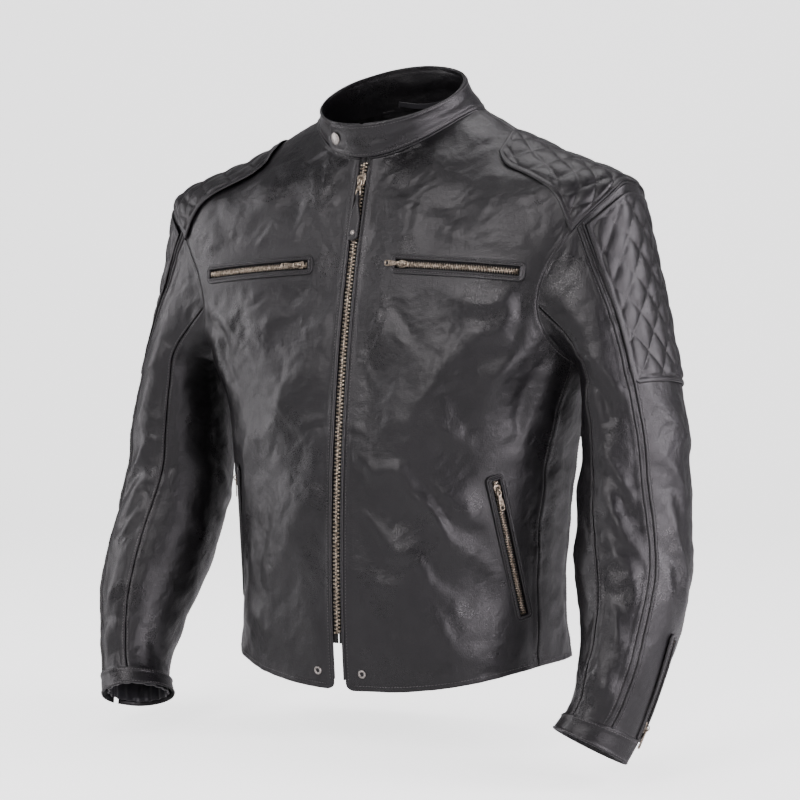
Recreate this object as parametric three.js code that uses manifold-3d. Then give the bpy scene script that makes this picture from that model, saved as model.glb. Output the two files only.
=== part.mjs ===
// Leather riding jacket, standing as worn. Millimetres, +Z up, the front faces -Y, +X is the wearer's left.
// The origin is the centre of the neck hole, where a hanger or a neck holds the jacket.
import * as THREE from 'three';
import { mergeVertices } from 'three/addons/utils/BufferGeometryUtils.js';
import Module from 'manifold-3d';

// Body
const SIDE_LENGTH = 598; // neck seam at the side to the hem
const CHEST_HALF = 228; // half width at the armpit
const SHOULDER_HALF = 278; // half width at the shoulder tip
const NECK_HALF = 99;
const NECK_SIDE_Z = 16;
const NECK_FRONT = [-87, -36]; // y and z of the neck seam at the centre front
const HEM_FRONT = [-140, -600];
const FRONT_SAGITTA = 28; // bulge of the centre front line
const BACK_DEPTH = 122;
const FRONT_DEPTH = 140; // depth of the front that the ring table is drawn for
const SHELL = 1.8; // thickness of a leather panel
const SEAM_DEG = 0.15; // half gap of a seam, as an angle round the body
const SIDE_SEAM_DEG = 14; // the side panel's reach to each side of the side line
const ARMHOLE_DEG = 40; // half width of the armhole, as an angle round the body

// Sleeves
const SLEEVE_FALL = 379; // armpit to cuff rim
const SLEEVE_HALF_DEPTH = 74; // half of the sleeve's depth below the armhole
const PIPED_SEAM_DEG = 58;
const INNER_SEAM_DEG = 112;
const BACK_SEAM_DEG = 250;
const CUFF_START = 7.35; // station where the cuff is sewn on
const CUFF_THICK = 2.4;
const PATCH_END = 2.15; // station where the quilted patch ends
const PAD_THICK = 5;
const LAY_GAP = 1.6; // clearance under a piece that lies on a curved panel

// Collar
const COLLAR_TOP_HALF = 82;
const COLLAR_TOP_FRONT = [-97, 0];
const COLLAR_TOP_BACK = [33, 74];
const COLLAR_THICK = 2.4;
const TAB_DEG = 31; // how far the tab reaches past the centre front
const TAB_LIFT = 2.6;
const TAB_THICK = 2;
const SNAP_R = 7;
const SNAP_DEG = 22;

// Zips, in units of a pocket zip
const CHAIN_GAP = 0.6; // half gap between the two rows of teeth, where the slider's web runs
const CHAIN_HALF = 3.2;
const CHAIN_TOP = 0.4;
const CHAIN_BOTTOM = -4.6;
const TAPE_HALF = 7;
const TAPE_THICK = 0.8;
const SLIDER_HALF = 4.2;
const SLIDER_LENGTH = 12;
const SLIDER_CLEAR = 0.4;
const PLATE = 1.2;
const BAIL_HEIGHT = 3.8;
const PULLER_LENGTH = 22;
const PULLER_HALF = 3.2;
const FRONT_ZIP_SCALE = 1.25;
const FRONT_PULLER_LENGTH = 17;
const WINDOW_HALF = 5.5; // half width of the slot a pocket zip shows in
const WELT_HALF = 11;
const WELT_END = 6;
const WELT_LIFT = 2.2;
const WELT_THICK = 0.9;

// Where the zips lie: x and z of the slider's end and of the far end
const CHEST_ZIP = [[55, -150], [191, -159]];
const HAND_ZIP = [[160, -375], [176, -516]];
const FRONT_ZIP_Z = [-40, -542];
const CUFF_ZIP = [[5.75, 4], [7.25, -18]]; // station and angle on the sleeve
const EYELET = [27, -581];
const EYELET_R = 2.3;

const COLOURS = {
  leather: [0x1d1c20, 0.55, 0],
  quilt: [0x1f1e22, 0.58, 0],
  lining: [0x121214, 0.45, 0],
  brass: [0x8a6f4a, 0.4, 0.9],
  nickel: [0xb9b6ae, 0.3, 1],
};

const wasm = await Module();
wasm.setup();
const group = new THREE.Group();
group.name = 'riding_jacket';

// --- helpers -------------------------------------------------------------------------------------

const rad = (deg) => (deg * Math.PI) / 180;
const mix = (a, b, t) => a + (b - a) * t;
const vec = (...xyz) => new THREE.Vector3(...xyz);

/** Catmull-Rom value of four neighbours. */
function spline(a, b, c, d, t) {
  const m = (c - a) / 2;
  const k = (d - b) / 2;
  return b + m * t + (3 * (c - b) - 2 * m - k) * t * t + (2 * (b - c) + m + k) * t * t * t;
}

/** The row of a table of numbers at a fractional index. */
function rowAt(table, index) {
  const last = table.length - 1;
  const i = Math.min(Math.max(Math.floor(index), 0), last - 1);
  const pick = (k) => table[Math.min(Math.max(k, 0), last)];
  const [a, b, c, d] = [pick(i - 1), pick(i), pick(i + 1), pick(i + 2)];
  return b.map((_, k) => spline(a[k], b[k], c[k], d[k], index - i));
}

/** Leaves positions only, welds them and turns the faces outward. */
function closed(geometry) {
  geometry.deleteAttribute('normal');
  geometry.deleteAttribute('uv');
  const welded = mergeVertices(geometry, 1e-4);
  const p = welded.attributes.position;
  const index = Array.from(welded.index.array);
  const [a, b, c] = [vec(), vec(), vec()];
  const kept = [];
  let volume = 0;
  for (let i = 0; i < index.length; i += 3) {
    const face = index.slice(i, i + 3);
    if (new Set(face).size < 3) continue;
    [a, b, c].forEach((v, k) => v.fromBufferAttribute(p, face[k]));
    volume += a.dot(b.cross(c));
    kept.push(face);
  }
  welded.setIndex(kept.flatMap((face) => (volume < 0 ? [face[0], face[2], face[1]] : face)));
  return welded;
}

function toSolid(geometry) {
  return new wasm.Manifold(
    new wasm.Mesh({
      numProp: 3,
      vertProperties: new Float32Array(geometry.attributes.position.array),
      triVerts: new Uint32Array(geometry.index.array),
    }),
  );
}

function fromSolid(solid) {
  const mesh = solid.getMesh();
  const geometry = new THREE.BufferGeometry();
  geometry.setAttribute('position', new THREE.BufferAttribute(new Float32Array(mesh.vertProperties), 3));
  geometry.setIndex(Array.from(mesh.triVerts));
  return geometry;
}

const join = (...parts) => fromSolid(parts.map(toSolid).reduce((sum, part) => sum.add(part)));
const cut = (base, ...tools) => fromSolid(tools.map(toSolid).reduce((sum, tool) => sum.subtract(tool), toSolid(base)));

/** A unit box with nu by nv faces whose corners are put where place(u, v, w) says. */
function bent(place, nu, nv, nw = 1) {
  const geometry = new THREE.BoxGeometry(1, 1, 1, nu, nv, nw);
  const p = geometry.attributes.position;
  for (let i = 0; i < p.count; i += 1) {
    const point = place(p.getX(i) + 0.5, p.getY(i) + 0.5, p.getZ(i) + 0.5);
    p.setXYZ(i, point.x, point.y, point.z);
  }
  return closed(geometry);
}

/** A closed ring of nu by nv faces: place(u, v, w) with u round the ring and w 0 inside, 1 outside. */
function ring(place, nu, nv) {
  const steps = 2 * nv + 2;
  const geometry = new THREE.TorusGeometry(1, 0.5, steps, nu);
  const { position, uv } = geometry.attributes;
  for (let i = 0; i < position.count; i += 1) {
    const k = Math.round(uv.getY(i) * steps) % steps;
    const outside = k <= nv;
    const along = outside ? k / nv : (2 * nv + 1 - k) / nv;
    const point = place(Math.round(uv.getX(i) * nu) % nu / nu, along, outside ? 1 : 0);
    position.setXYZ(i, point.x, point.y, point.z);
  }
  return closed(geometry);
}

/** A point of a surface moved along its normal; at(p, q) gives the surface. */
function lifted(at, p, q, lift, step = 1e-3) {
  const along = at(p + step, q).sub(at(p - step, q));
  const up = at(p, q + step).sub(at(p, q - step));
  return at(p, q).addScaledVector(along.cross(up).normalize(), lift);
}

function add(name, geometry, finish, mirrored = false) {
  const [color, roughness, metalness] = COLOURS[finish];
  const mesh = new THREE.Mesh(geometry, new THREE.MeshStandardMaterial({ color, roughness, metalness }));
  mesh.name = name;
  mesh.scale.x = mirrored ? -1 : 1;
  group.add(mesh);
}

function addPair(name, geometry, finish) {
  add(`${name}_left`, geometry, finish);
  add(`${name}_right`, geometry.clone(), finish, true);
}

// --- body surface --------------------------------------------------------------------------------

/** Centre and radius of the arc that the centre front line follows, in y and z. */
function frontArc() {
  const [a, b] = [new THREE.Vector2(...NECK_FRONT), new THREE.Vector2(...HEM_FRONT)];
  const half = a.distanceTo(b) / 2;
  const radius = (half * half + FRONT_SAGITTA * FRONT_SAGITTA) / (2 * FRONT_SAGITTA);
  const across = b.clone().sub(a).normalize();
  const inward = new THREE.Vector2(-across.y, across.x);
  const centre = a.add(b).multiplyScalar(0.5).addScaledVector(inward, radius - FRONT_SAGITTA);
  return { centre, radius };
}

const FRONT_ARC = frontArc();
const frontY = (z) => FRONT_ARC.centre.x - Math.sqrt(FRONT_ARC.radius ** 2 - (z - FRONT_ARC.centre.y) ** 2);

// Rings from the hem to the neck: share of the side length below the neck, rise of the front, rise
// of the back, half width, y of the side line, back depth and squareness.
const WIDE = CHEST_HALF;
const RINGS = [
  [0.985, -27, -14, 0.833 * WIDE, 0, 0.975 * BACK_DEPTH, 2.25],
  [0.871, -15, -6, 0.825 * WIDE, 0, 0.94 * BACK_DEPTH, 2.2],
  [0.763, -8, -3, 0.835 * WIDE, 0, 0.91 * BACK_DEPTH, 2.2],
  [0.654, -4, 0, 0.862 * WIDE, 0, 0.9 * BACK_DEPTH, 2.25],
  [0.545, 0, 0, 0.92 * WIDE, -2, 0.94 * BACK_DEPTH, 2.35],
  [0.453, 0, 0, WIDE, -5, BACK_DEPTH, 2.45],
  [0.37, 0, 0, 1.045 * WIDE, -10, BACK_DEPTH, 2.75],
  [0.294, 0, 0, mix(WIDE, SHOULDER_HALF, 0.6), -16, 0.98 * BACK_DEPTH, 3.0],
  [0.219, 0, 4, mix(WIDE, SHOULDER_HALF, 1.05), -22, 0.92 * BACK_DEPTH, 2.75],
  [0.1405, -14, 14, SHOULDER_HALF, -27, 0.82 * BACK_DEPTH, 2.35],
  [0.0735, -30, 20, mix(NECK_HALF, SHOULDER_HALF, 0.48), -17, 0.66 * BACK_DEPTH, 2.15],
  [0, NECK_FRONT[1] - NECK_SIDE_Z, 16, NECK_HALF, -12, 0.4 * BACK_DEPTH, 2.0],
];
const NECK = RINGS.length - 1;
const [ARMPIT, TIP] = [5, 9];
const [ARM_MID, ARM_REACH] = [(ARMPIT + TIP) / 2, (TIP - ARMPIT) / 2];

/** Body point at an angle round it (0 front, 90 wearer's left) and a ring index. */
function body(deg, level) {
  const [share, frontRise, backRise, half, sideY, back, square] = rowAt(RINGS, level);
  const sin = Math.sin(rad(deg));
  const cos = Math.cos(rad(deg));
  const power = 2 / square;
  const z = NECK_SIDE_Z - share * SIDE_LENGTH + (cos > 0 ? frontRise : backRise) * cos * cos;
  const depth = cos > 0 ? (sideY - frontY(z)) * (FRONT_DEPTH / -HEM_FRONT[0]) : sideY - back;
  return vec(Math.sign(sin) * half * Math.abs(sin) ** power, sideY - depth * Math.abs(cos) ** power, z);
}

const bodyLift = (deg, level, lift) => lifted(body, deg, level, lift);

/** Angle of the armhole's edge at a ring index, from the side line. */
function armholeDeg(level) {
  const k = (level - ARM_MID) / ARM_REACH;
  return ARMHOLE_DEG * Math.sqrt(Math.max(0, 1 - k * k));
}

/** Angle and ring index on the front of the body that show at a given x and z. */
function frontAt(x, z) {
  let [low, high] = [0, NECK];
  let deg = 0;
  for (let i = 0; i < 40; i += 1) {
    const level = (low + high) / 2;
    const row = rowAt(RINGS, level);
    deg = (Math.asin(Math.min(1, Math.abs(x) / row[3]) ** (row[6] / 2)) * 180) / Math.PI;
    if (body(deg, level).z < z) low = level;
    else high = level;
  }
  return [Math.sign(x) * deg, low];
}

/** Point over the front of the body at x and z. */
const frontLift = (x, z, lift) => bodyLift(...frontAt(x, z), lift);

// --- panels of the body --------------------------------------------------------------------------

const FRONT_EDGE_X = 7; // the folded edge beside the front zip
const HEM_CORNER = 12;
const HEM_RING_RISE = 77; // height from the hem ring to the next one

/** Ring indices of the rows of a panel that passes the armhole. */
const LEVELS = [
  ...Array.from({ length: 11 }, (_, i) => (i / 11) * (ARM_MID - ARM_REACH)),
  ...Array.from({ length: 11 }, (_, i) => ARM_MID - ARM_REACH * Math.cos(rad(i * 18))),
  TIP + 0.5,
  TIP + 1,
  TIP + 1.5,
  NECK - 0.02,
];

/** Angle from the front (or back) line to the outer edge of the front (or back) panel. */
function panelEdge(level) {
  if (level >= TIP - 1e-6) return 90 - SEAM_DEG;
  const side = 90 - SIDE_SEAM_DEG - SEAM_DEG;
  return level < ARMPIT ? side : Math.min(side, 90 - armholeDeg(level) - 3 * SEAM_DEG);
}

function frontPanel() {
  const rows = LEVELS.length - 1;
  const place = (u, v, w) => {
    const level = LEVELS[Math.round(v * rows)];
    const [, , , half, , , square] = rowAt(RINGS, level);
    const inner = (Math.asin((FRONT_EDGE_X / half) ** (square / 2)) * 180) / Math.PI;
    const deg = mix(inner, panelEdge(level), u ** 1.25);
    const inset = HEM_CORNER * Math.max(0, 1 - u * 9);
    const corner = v === 0 ? (HEM_CORNER - Math.sqrt(HEM_CORNER ** 2 - inset ** 2)) / HEM_RING_RISE : 0;
    return bodyLift(deg, level + corner, -SHELL * (1 - w));
  };
  return bent(place, 13, rows);
}

function backPanel() {
  const rows = LEVELS.length - 1;
  const place = (u, v, w) => {
    const level = LEVELS[Math.round(v * rows)];
    return bodyLift(180 + mix(-1, 1, u) * panelEdge(level), level, -SHELL * (1 - w));
  };
  return bent(place, 14, rows);
}

function sidePanel() {
  const reach = SIDE_SEAM_DEG - SEAM_DEG;
  const place = (u, v, w) => {
    const deg = mix(-reach, reach, u);
    const top = ARM_MID - ARM_REACH * Math.sqrt(1 - (deg / ARMHOLE_DEG) ** 2) - 0.03;
    return bodyLift(90 + deg, top * v, -SHELL * (1 - w));
  };
  return bent(place, 4, 12);
}

/** The quilted pad over the shoulder: u from the neck side to the armhole, v from front to back. */
function shoulderPad() {
  const place = (u, v, w) => {
    const q = mix(-1, 1, v);
    const inner = [90 + 41 * q, TIP + 1.42 - 0.42 * q * q];
    const arm = rad(60 * q);
    const outer = [90 + (ARMHOLE_DEG + 3 * SEAM_DEG) * Math.sin(arm), ARM_MID + (ARM_REACH + 0.04) * Math.cos(arm)];
    return bodyLift(mix(inner[0], outer[0], u), mix(inner[1], outer[1], u), LAY_GAP + PAD_THICK * w);
  };
  return bent(place, 8, 10);
}

// --- collar --------------------------------------------------------------------------------------

/** Collar point at an angle round the neck and a share of its height. */
function collar(deg, share) {
  const foot = body(deg, NECK);
  const cos = Math.cos(rad(deg));
  const [y, z] = [mix(COLLAR_TOP_BACK[0], COLLAR_TOP_FRONT[0], (1 + cos) / 2), 0];
  const top = vec(COLLAR_TOP_HALF * Math.sin(rad(deg)), y, z);
  top.z = mix(COLLAR_TOP_BACK[1], COLLAR_TOP_FRONT[1], (1 + cos) / 2);
  return foot.lerp(top, share);
}

const collarLift = (deg, share, lift) => lifted(collar, deg, share, lift);
const COLLAR_FOOT = 0.04;

function collarStand() {
  const place = (u, v, w) => collarLift(mix(2, 358.8, u), mix(COLLAR_FOOT, 1, v), -COLLAR_THICK * (1 - w));
  return bent(place, 28, 2);
}

function collarTab() {
  const reach = (v) => TAB_DEG - 3 * (2 * v - 1) ** 2;
  const place = (u, v, w) => collarLift(mix(1.5, -reach(v), u), mix(0.05, 0.97, v), TAB_LIFT + TAB_THICK * w);
  return bent(place, 8, 4);
}

// --- turned pieces -------------------------------------------------------------------------------

/** A closed lathe body whose profile is (radius, height), stood on a point along a direction. */
function turned(profile, point, direction, segments = 14) {
  const points = [...profile, profile[0]].map(([r, h]) => new THREE.Vector2(r, h));
  const geometry = new THREE.LatheGeometry(points, segments);
  const turn = new THREE.Quaternion().setFromUnitVectors(vec(0, 1, 0), direction);
  geometry.applyQuaternion(turn);
  geometry.translate(point.x, point.y, point.z);
  return closed(geometry);
}

const rod = (radius, from, to, point, direction) =>
  turned([[0, from], [radius, from], [radius, to], [0, to]], point, direction);

function normalAt(lift, ...args) {
  return lift(...args, 1).sub(lift(...args, 0)).normalize();
}

function snap() {
  const point = collarLift(-SNAP_DEG, 0.5, 0);
  const out = normalAt(collarLift, -SNAP_DEG, 0.5);
  const top = TAB_LIFT + TAB_THICK + 0.3;
  const cap = turned(
    [[0, TAB_LIFT + 0.2], [1.6, TAB_LIFT + 0.2], [1.6, top], [SNAP_R, top], [SNAP_R, top + 0.6], [SNAP_R - 1.5, top + 1.8], [0, top + 2.2]],
    point,
    out,
  );
  const stud = turned(
    [[0, -COLLAR_THICK], [1.6, -COLLAR_THICK], [1.6, 0.4], [4.5, 0.4], [4.5, 1.2], [2.4, 2], [0, 2]],
    point,
    out,
  );
  return { cap, stud, hole: rod(1.9, -6, 8, point, out) };
}

// --- zips ----------------------------------------------------------------------------------------

/** An arc from one point to another that bulges along a normal through a middle point. */
function makeTrack(start, middle, end, normal) {
  const along = end.clone().sub(start);
  const half = along.length() / 2;
  along.normalize();
  const out = normal.clone().addScaledVector(along, -normal.dot(along)).normalize();
  const chordMiddle = start.clone().add(end).multiplyScalar(0.5);
  const rise = middle.clone().sub(chordMiddle).dot(out);
  const radius = (half * half + rise * rise) / (2 * rise);
  return { centre: chordMiddle.addScaledVector(out, rise - radius), radius, out, along, reach: Math.asin(half / radius) };
}

const trackLength = (track) => 2 * track.reach * track.radius;

/** Point of a track at a distance from its start, moved across and out. */
function onTrack(track, distance, across, out) {
  const angle = distance / track.radius - track.reach;
  const normal = track.out.clone().multiplyScalar(Math.cos(angle)).addScaledVector(track.along, Math.sin(angle));
  const side = track.out.clone().cross(track.along);
  return track.centre.clone().addScaledVector(normal, track.radius + out).addScaledVector(side, across);
}

/** A bar along a track; the ranges are distance, across and out. */
function bar(track, [d0, d1], [b0, b1], [e0, e1], steps = 1) {
  return bent((u, v, w) => onTrack(track, mix(d0, d1, u), mix(b0, b1, v), mix(e0, e1, w)), steps, 1);
}

/** One row of teeth with its tape; side is 1 or -1. */
function chainHalf(track, side, k, steps) {
  const range = [0, trackLength(track)];
  const teeth = bar(track, range, [side * CHAIN_GAP * k, side * CHAIN_HALF * k], [CHAIN_BOTTOM, CHAIN_TOP], steps);
  const tape = bar(track, range, [side * (CHAIN_HALF * k - 0.4), side * TAPE_HALF], [CHAIN_BOTTOM, CHAIN_BOTTOM + TAPE_THICK], steps);
  return join(teeth, tape);
}

/** Both rows of a pocket zip, joined by their end stops. */
function pocketZip(track) {
  const length = trackLength(track);
  const stop = (d) => bar(track, [d, d + 3], [-CHAIN_HALF, CHAIN_HALF], [CHAIN_BOTTOM, CHAIN_TOP + 0.3]);
  return join(chainHalf(track, 1, 1, 4), chainHalf(track, -1, 1, 4), stop(0), stop(length - 3));
}

/** Top plate, bottom plate, web and bail, centred at a distance along the track. */
function slider(track, distance, k) {
  const half = (SLIDER_LENGTH * k) / 2;
  const wide = SLIDER_HALF * k;
  const long = [distance - half, distance + half];
  const top = CHAIN_TOP + SLIDER_CLEAR;
  const bottom = CHAIN_BOTTOM - SLIDER_CLEAR;
  const bail = [distance - 3.5, distance + 3.5];
  const roof = top + PLATE + BAIL_HEIGHT;
  return join(
    bar(track, long, [-wide, wide], [top, top + PLATE]),
    bar(track, long, [-wide, wide], [bottom - PLATE, bottom]),
    bar(track, [long[0] + 1, long[1] - 1], [-CHAIN_GAP + 0.25, CHAIN_GAP - 0.25], [bottom - 0.1, top + 0.1]),
    bar(track, [bail[0], bail[0] + 1], [-1, 1], [top + PLATE - 0.1, roof + 0.1]),
    bar(track, [bail[1] - 1, bail[1]], [-1, 1], [top + PLATE - 0.1, roof + 0.1]),
    bar(track, bail, [-1, 1], [roof, roof + 1]),
  );
}

const HINGE_HEIGHT = CHAIN_TOP + SLIDER_CLEAR + PLATE + BAIL_HEIGHT / 2;

/** The metal pull: a plate with a slot for the bail and an eye at its end; way is 1 along the track or -1. */
function puller(track, distance, length, eye, way = 1) {
  const span = (near, far) => [distance + way * near, distance + way * far];
  const out = [HINGE_HEIGHT - PLATE / 2, HINGE_HEIGHT + PLATE / 2];
  const plate = bar(track, span(-0.8, length), [-PULLER_HALF, PULLER_HALF], out, 2);
  const slot = bar(track, span(0.8, 5.4), [-1.6, 1.6], [0, 9]);
  const hole = bar(track, span(length - 1.8 - eye, length - 1.8), [-1.9, 1.9], [0, 9]);
  return cut(plate, slot, hole);
}

/** The leather strap that loops through the puller's eye. */
function leatherPull(track, distance) {
  const eye = distance + FRONT_PULLER_LENGTH;
  const [low, high] = [HINGE_HEIGHT - PLATE / 2 - 1.5, HINGE_HEIGHT + PLATE / 2 + 1.5];
  const neck = [-1.6, 1.6];
  const end = eye + 50;
  const blade = join(
    bar(track, [eye - 3.4, eye - 2.3], neck, [low, high]),
    bar(track, [eye - 3.4, eye + 4], neck, [low, low + 0.9]),
    bar(track, [eye - 3.4, eye + 4], neck, [high - 0.9, high]),
    bar(track, [eye + 0.6, eye + 6], neck, [low, high]),
    bar(track, [eye + 4, end], [-5.2, 5.2], [low + 0.4, high - 0.4], 4),
  );
  const point = onTrack(track, end - 9, 0, 0);
  const out = onTrack(track, end - 9, 0, 1).sub(point);
  const rivet = turned(
    [[0, low - 0.4], [2.6, low - 0.4], [2.6, low + 0.2], [1, low + 0.2], [1, high - 0.2], [2.6, high - 0.2], [2.2, high + 0.5], [0, high + 0.6]],
    point,
    out,
    14,
  );
  return { strap: cut(blade, rod(1.3, low - 2, high + 2, point, out)), rivet };
}

/** Track of a pocket zip over the front of the body. */
function pocketTrack([[x0, z0], [x1, z1]]) {
  const [x, z] = [(x0 + x1) / 2, (z0 + z1) / 2];
  return makeTrack(frontLift(x0, z0, 0), frontLift(x, z, 0), frontLift(x1, z1, 0), normalAt(frontLift, x, z));
}

const windowBar = (track, out) => bar(track, [-1, trackLength(track) + 1], [-WINDOW_HALF, WINDOW_HALF], out, 4);

function welt(track) {
  const length = trackLength(track);
  const frame = bar(track, [-WELT_END, length + WELT_END], [-WELT_HALF, WELT_HALF], [WELT_LIFT, WELT_LIFT + WELT_THICK], 6);
  return cut(frame, windowBar(track, [-4, 8]));
}

/** A bag behind a window: the block between two depths over x and z ranges, hollow and open at the zip. */
function pocketBag(track, [x0, x1], [z0, z1]) {
  const block = (inset, e0, e1) =>
    bent(
      (u, v, w) => frontLift(mix(x0 + inset, x1 - inset, u), mix(z0 + inset, z1 - inset, v), mix(e0, e1, w)),
      4,
      3,
    );
  return cut(block(0, -15.5, -7.4), block(2, -14.5, -8.4), windowBar(track, [-11, -5]));
}

// --- sleeves -------------------------------------------------------------------------------------

// Stations below the armhole: inner edge out from the armpit, its fall, outer edge out from the
// shoulder tip, its fall, y of the centre, how far the outer edge lies behind the inner one, and
// half depth. Falls are shares of the sleeve's fall.
const STATIONS = [
  [4, 0.02, 29, -0.13, -14, 0, 1.03],
  [7, 0.1, 44, 0.02, -17, 0, 1.0],
  [5, 0.235, 61, 0.195, -21, 2, 0.945],
  [3, 0.38, 68, 0.365, -29, 6, 0.9],
  [12, 0.57, 78, 0.58, -51, 14, 0.84],
  [26, 0.76, 68, 0.77, -84, 10, 0.7],
  [28, 0.9, 54, 0.925, -106, 0, 0.58],
  [16, 0.975, 40, 1.025, -121, -12, 0.54],
];

function stationEnds(k) {
  const [inner, fall, outer, drop, y, behind, depth] = STATIONS[k];
  const armpit = body(90, ARMPIT);
  return {
    inner: vec(armpit.x + inner, y - behind / 2, armpit.z - fall * SLEEVE_FALL),
    outer: vec(SHOULDER_HALF + outer, y + behind / 2, armpit.z - drop * SLEEVE_FALL),
    depth: depth * SLEEVE_HALF_DEPTH,
  };
}

/** Centre and the two half axes of each station's ellipse. */
const SECTIONS = STATIONS.map((_, k) => {
  const here = stationEnds(k);
  const middle = (i) => {
    const { inner, outer } = stationEnds(Math.min(Math.max(i, 0), STATIONS.length - 1));
    return inner.add(outer).multiplyScalar(0.5);
  };
  const wide = here.outer.clone().sub(here.inner).multiplyScalar(0.5);
  const down = middle(k + 1).sub(middle(k - 1));
  return { centre: middle(k), wide, deep: down.cross(wide).normalize().multiplyScalar(here.depth) };
});

/** Angle and ring index of the armhole at an angle round the sleeve. */
function armhole(deg) {
  return [90 - ARMHOLE_DEG * Math.sin(rad(deg)), ARM_MID + ARM_REACH * Math.cos(rad(deg))];
}

function stationPoint(k, deg) {
  if (k === 0) return body(...armhole(deg));
  const { centre, wide, deep } = SECTIONS[k - 1];
  return centre.clone().addScaledVector(wide, Math.cos(rad(deg))).addScaledVector(deep, Math.sin(rad(deg)));
}

/** Sleeve point at an angle round it (0 outside, 90 front) and a station number. */
function sleeve(deg, station) {
  const table = Array.from({ length: STATIONS.length + 1 }, (_, k) => stationPoint(k, deg).toArray());
  return vec(...rowAt(table, station));
}

/** The sleeve surface with its angle turned about, so that its normals face out. */
const sleeveLift = (deg, station, lift) => lifted(sleeve, deg, station, lift);
const RIM = STATIONS.length;
const SLEEVE_START = 0.03;

function sleevePanel(from, to, columns) {
  const place = (u, v, w) =>
    sleeveLift(mix(from + 0.4, to - 0.4, u), mix(SLEEVE_START, CUFF_START - 0.03, v), -SHELL * (1 - w));
  return bent(place, columns, 15);
}

function sleevePatch() {
  const place = (u, v, w) =>
    sleeveLift(mix(-50, PIPED_SEAM_DEG - 5, u), mix(0.1, PATCH_END, v), LAY_GAP + PAD_THICK * w);
  return bent(place, 10, 8);
}

function cuff() {
  const place = (u, v, w) =>
    sleeveLift(mix(CUFF_ZIP[1][1] + 4, CUFF_ZIP[1][1] + 356, u), mix(CUFF_START, RIM, v), -SHELL + CUFF_THICK * w);
  return bent(place, 26, 2);
}

function sleeveLining() {
  const place = (u, v, w) => sleeveLift(360 * u, mix(0.6, RIM - 0.08, v), -9 + w);
  return ring(place, 14, 9);
}

function cuffTrack() {
  const at = (t) => [mix(CUFF_ZIP[0][1], CUFF_ZIP[1][1], t), mix(CUFF_ZIP[0][0], CUFF_ZIP[1][0], t)];
  const [start, middle, end] = [1, 0.5, 0].map((t) => sleeveLift(...at(t), 0));
  return makeTrack(start, middle, end, normalAt(sleeveLift, ...at(0.5)));
}

// --- lining --------------------------------------------------------------------------------------

const LINING_LIFT = -24;

/** A plug through the armhole, to cut the lining open there. */
function armholePlug() {
  const geometry = new THREE.CylinderGeometry(1, 1, 1, 18, 1);
  const p = geometry.attributes.position;
  for (let i = 0; i < p.count; i += 1) {
    const deg = 90 - (ARMHOLE_DEG + 2) * p.getX(i);
    const point = bodyLift(deg, ARM_MID + (ARM_REACH + 0.12) * p.getZ(i), 60 * p.getY(i) + LINING_LIFT);
    p.setXYZ(i, point.x, point.y, point.z);
  }
  return closed(geometry);
}

function bodyLining() {
  const place = (u, v, w) => bodyLift(mix(9, 351, u), mix(0.2, NECK - 0.45, v), LINING_LIFT - 1 + w);
  const plug = armholePlug();
  const other = closed(plug.clone().scale(-1, 1, 1));
  return cut(bent(place, 30, 12), plug, other);
}

/** The strap inside the back of the neck that the jacket is hung up by. */
function hangerLoop() {
  const place = (u, v, w) => {
    const sag = 7 * Math.sin(Math.PI * u);
    return collarLift(mix(160, 200, u), 0.1 - 0.12 * v - sag / 60, -COLLAR_THICK - 0.8 - 1.2 * (1 - w) - 2 * Math.sin(Math.PI * u));
  };
  return bent(place, 10, 1);
}

function eyelet() {
  const point = frontLift(...EYELET, 0);
  const out = normalAt(frontLift, ...EYELET);
  const [near, far] = [0.5, -SHELL - 0.5];
  const profile = [
    [EYELET_R, far - 0.6], [EYELET_R + 2.2, far - 0.6], [EYELET_R + 2.2, far], [EYELET_R + 0.8, far],
    [EYELET_R + 0.8, near], [EYELET_R + 2.2, near], [EYELET_R + 2.2, near + 0.6], [EYELET_R, near + 0.6],
  ];
  return { ring: turned(profile, point, out), hole: rod(EYELET_R + 1.1, -6, 6, point, out) };
}

// --- assembly ------------------------------------------------------------------------------------

const chest = pocketTrack(CHEST_ZIP);
const hand = pocketTrack(HAND_ZIP);
const front = (() => {
  const point = (z) => vec(0, frontY(z), z);
  const middle = (FRONT_ZIP_Z[0] + FRONT_ZIP_Z[1]) / 2;
  return makeTrack(point(FRONT_ZIP_Z[0]), point(middle), point(FRONT_ZIP_Z[1]), vec(0, -1, 0));
})();
const wrist = cuffTrack();
const POCKET_REST = 3.6 + SLIDER_LENGTH / 2;
const FRONT_REST = 22;

const hem = eyelet();
addPair('front_panel', cut(frontPanel(), windowBar(chest, [-6, 6]), windowBar(hand, [-6, 6]), hem.hole), 'leather');
add('back_panel', backPanel(), 'leather');
addPair('side_panel', sidePanel(), 'leather');
addPair('shoulder_pad', shoulderPad(), 'quilt');
addPair('hem_eyelet', hem.ring, 'nickel');

const press = snap();
add('collar_stand', cut(collarStand(), press.hole), 'leather');
add('collar_tab', cut(collarTab(), press.hole), 'leather');
add('snap_cap', press.cap, 'nickel');
add('snap_stud', press.stud, 'nickel');
add('hanger_loop', hangerLoop(), 'lining');

add('front_zip_left', chainHalf(front, 1, FRONT_ZIP_SCALE, 24), 'brass');
add('front_zip_right', chainHalf(front, -1, FRONT_ZIP_SCALE, 24), 'brass');
add('front_zip_slider', slider(front, FRONT_REST, FRONT_ZIP_SCALE), 'brass');
add('front_zip_puller', puller(front, FRONT_REST, FRONT_PULLER_LENGTH, 3.4), 'brass');
const pull = leatherPull(front, FRONT_REST);
add('front_zip_strap', pull.strap, 'leather');
add('strap_rivet', pull.rivet, 'nickel');

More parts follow.
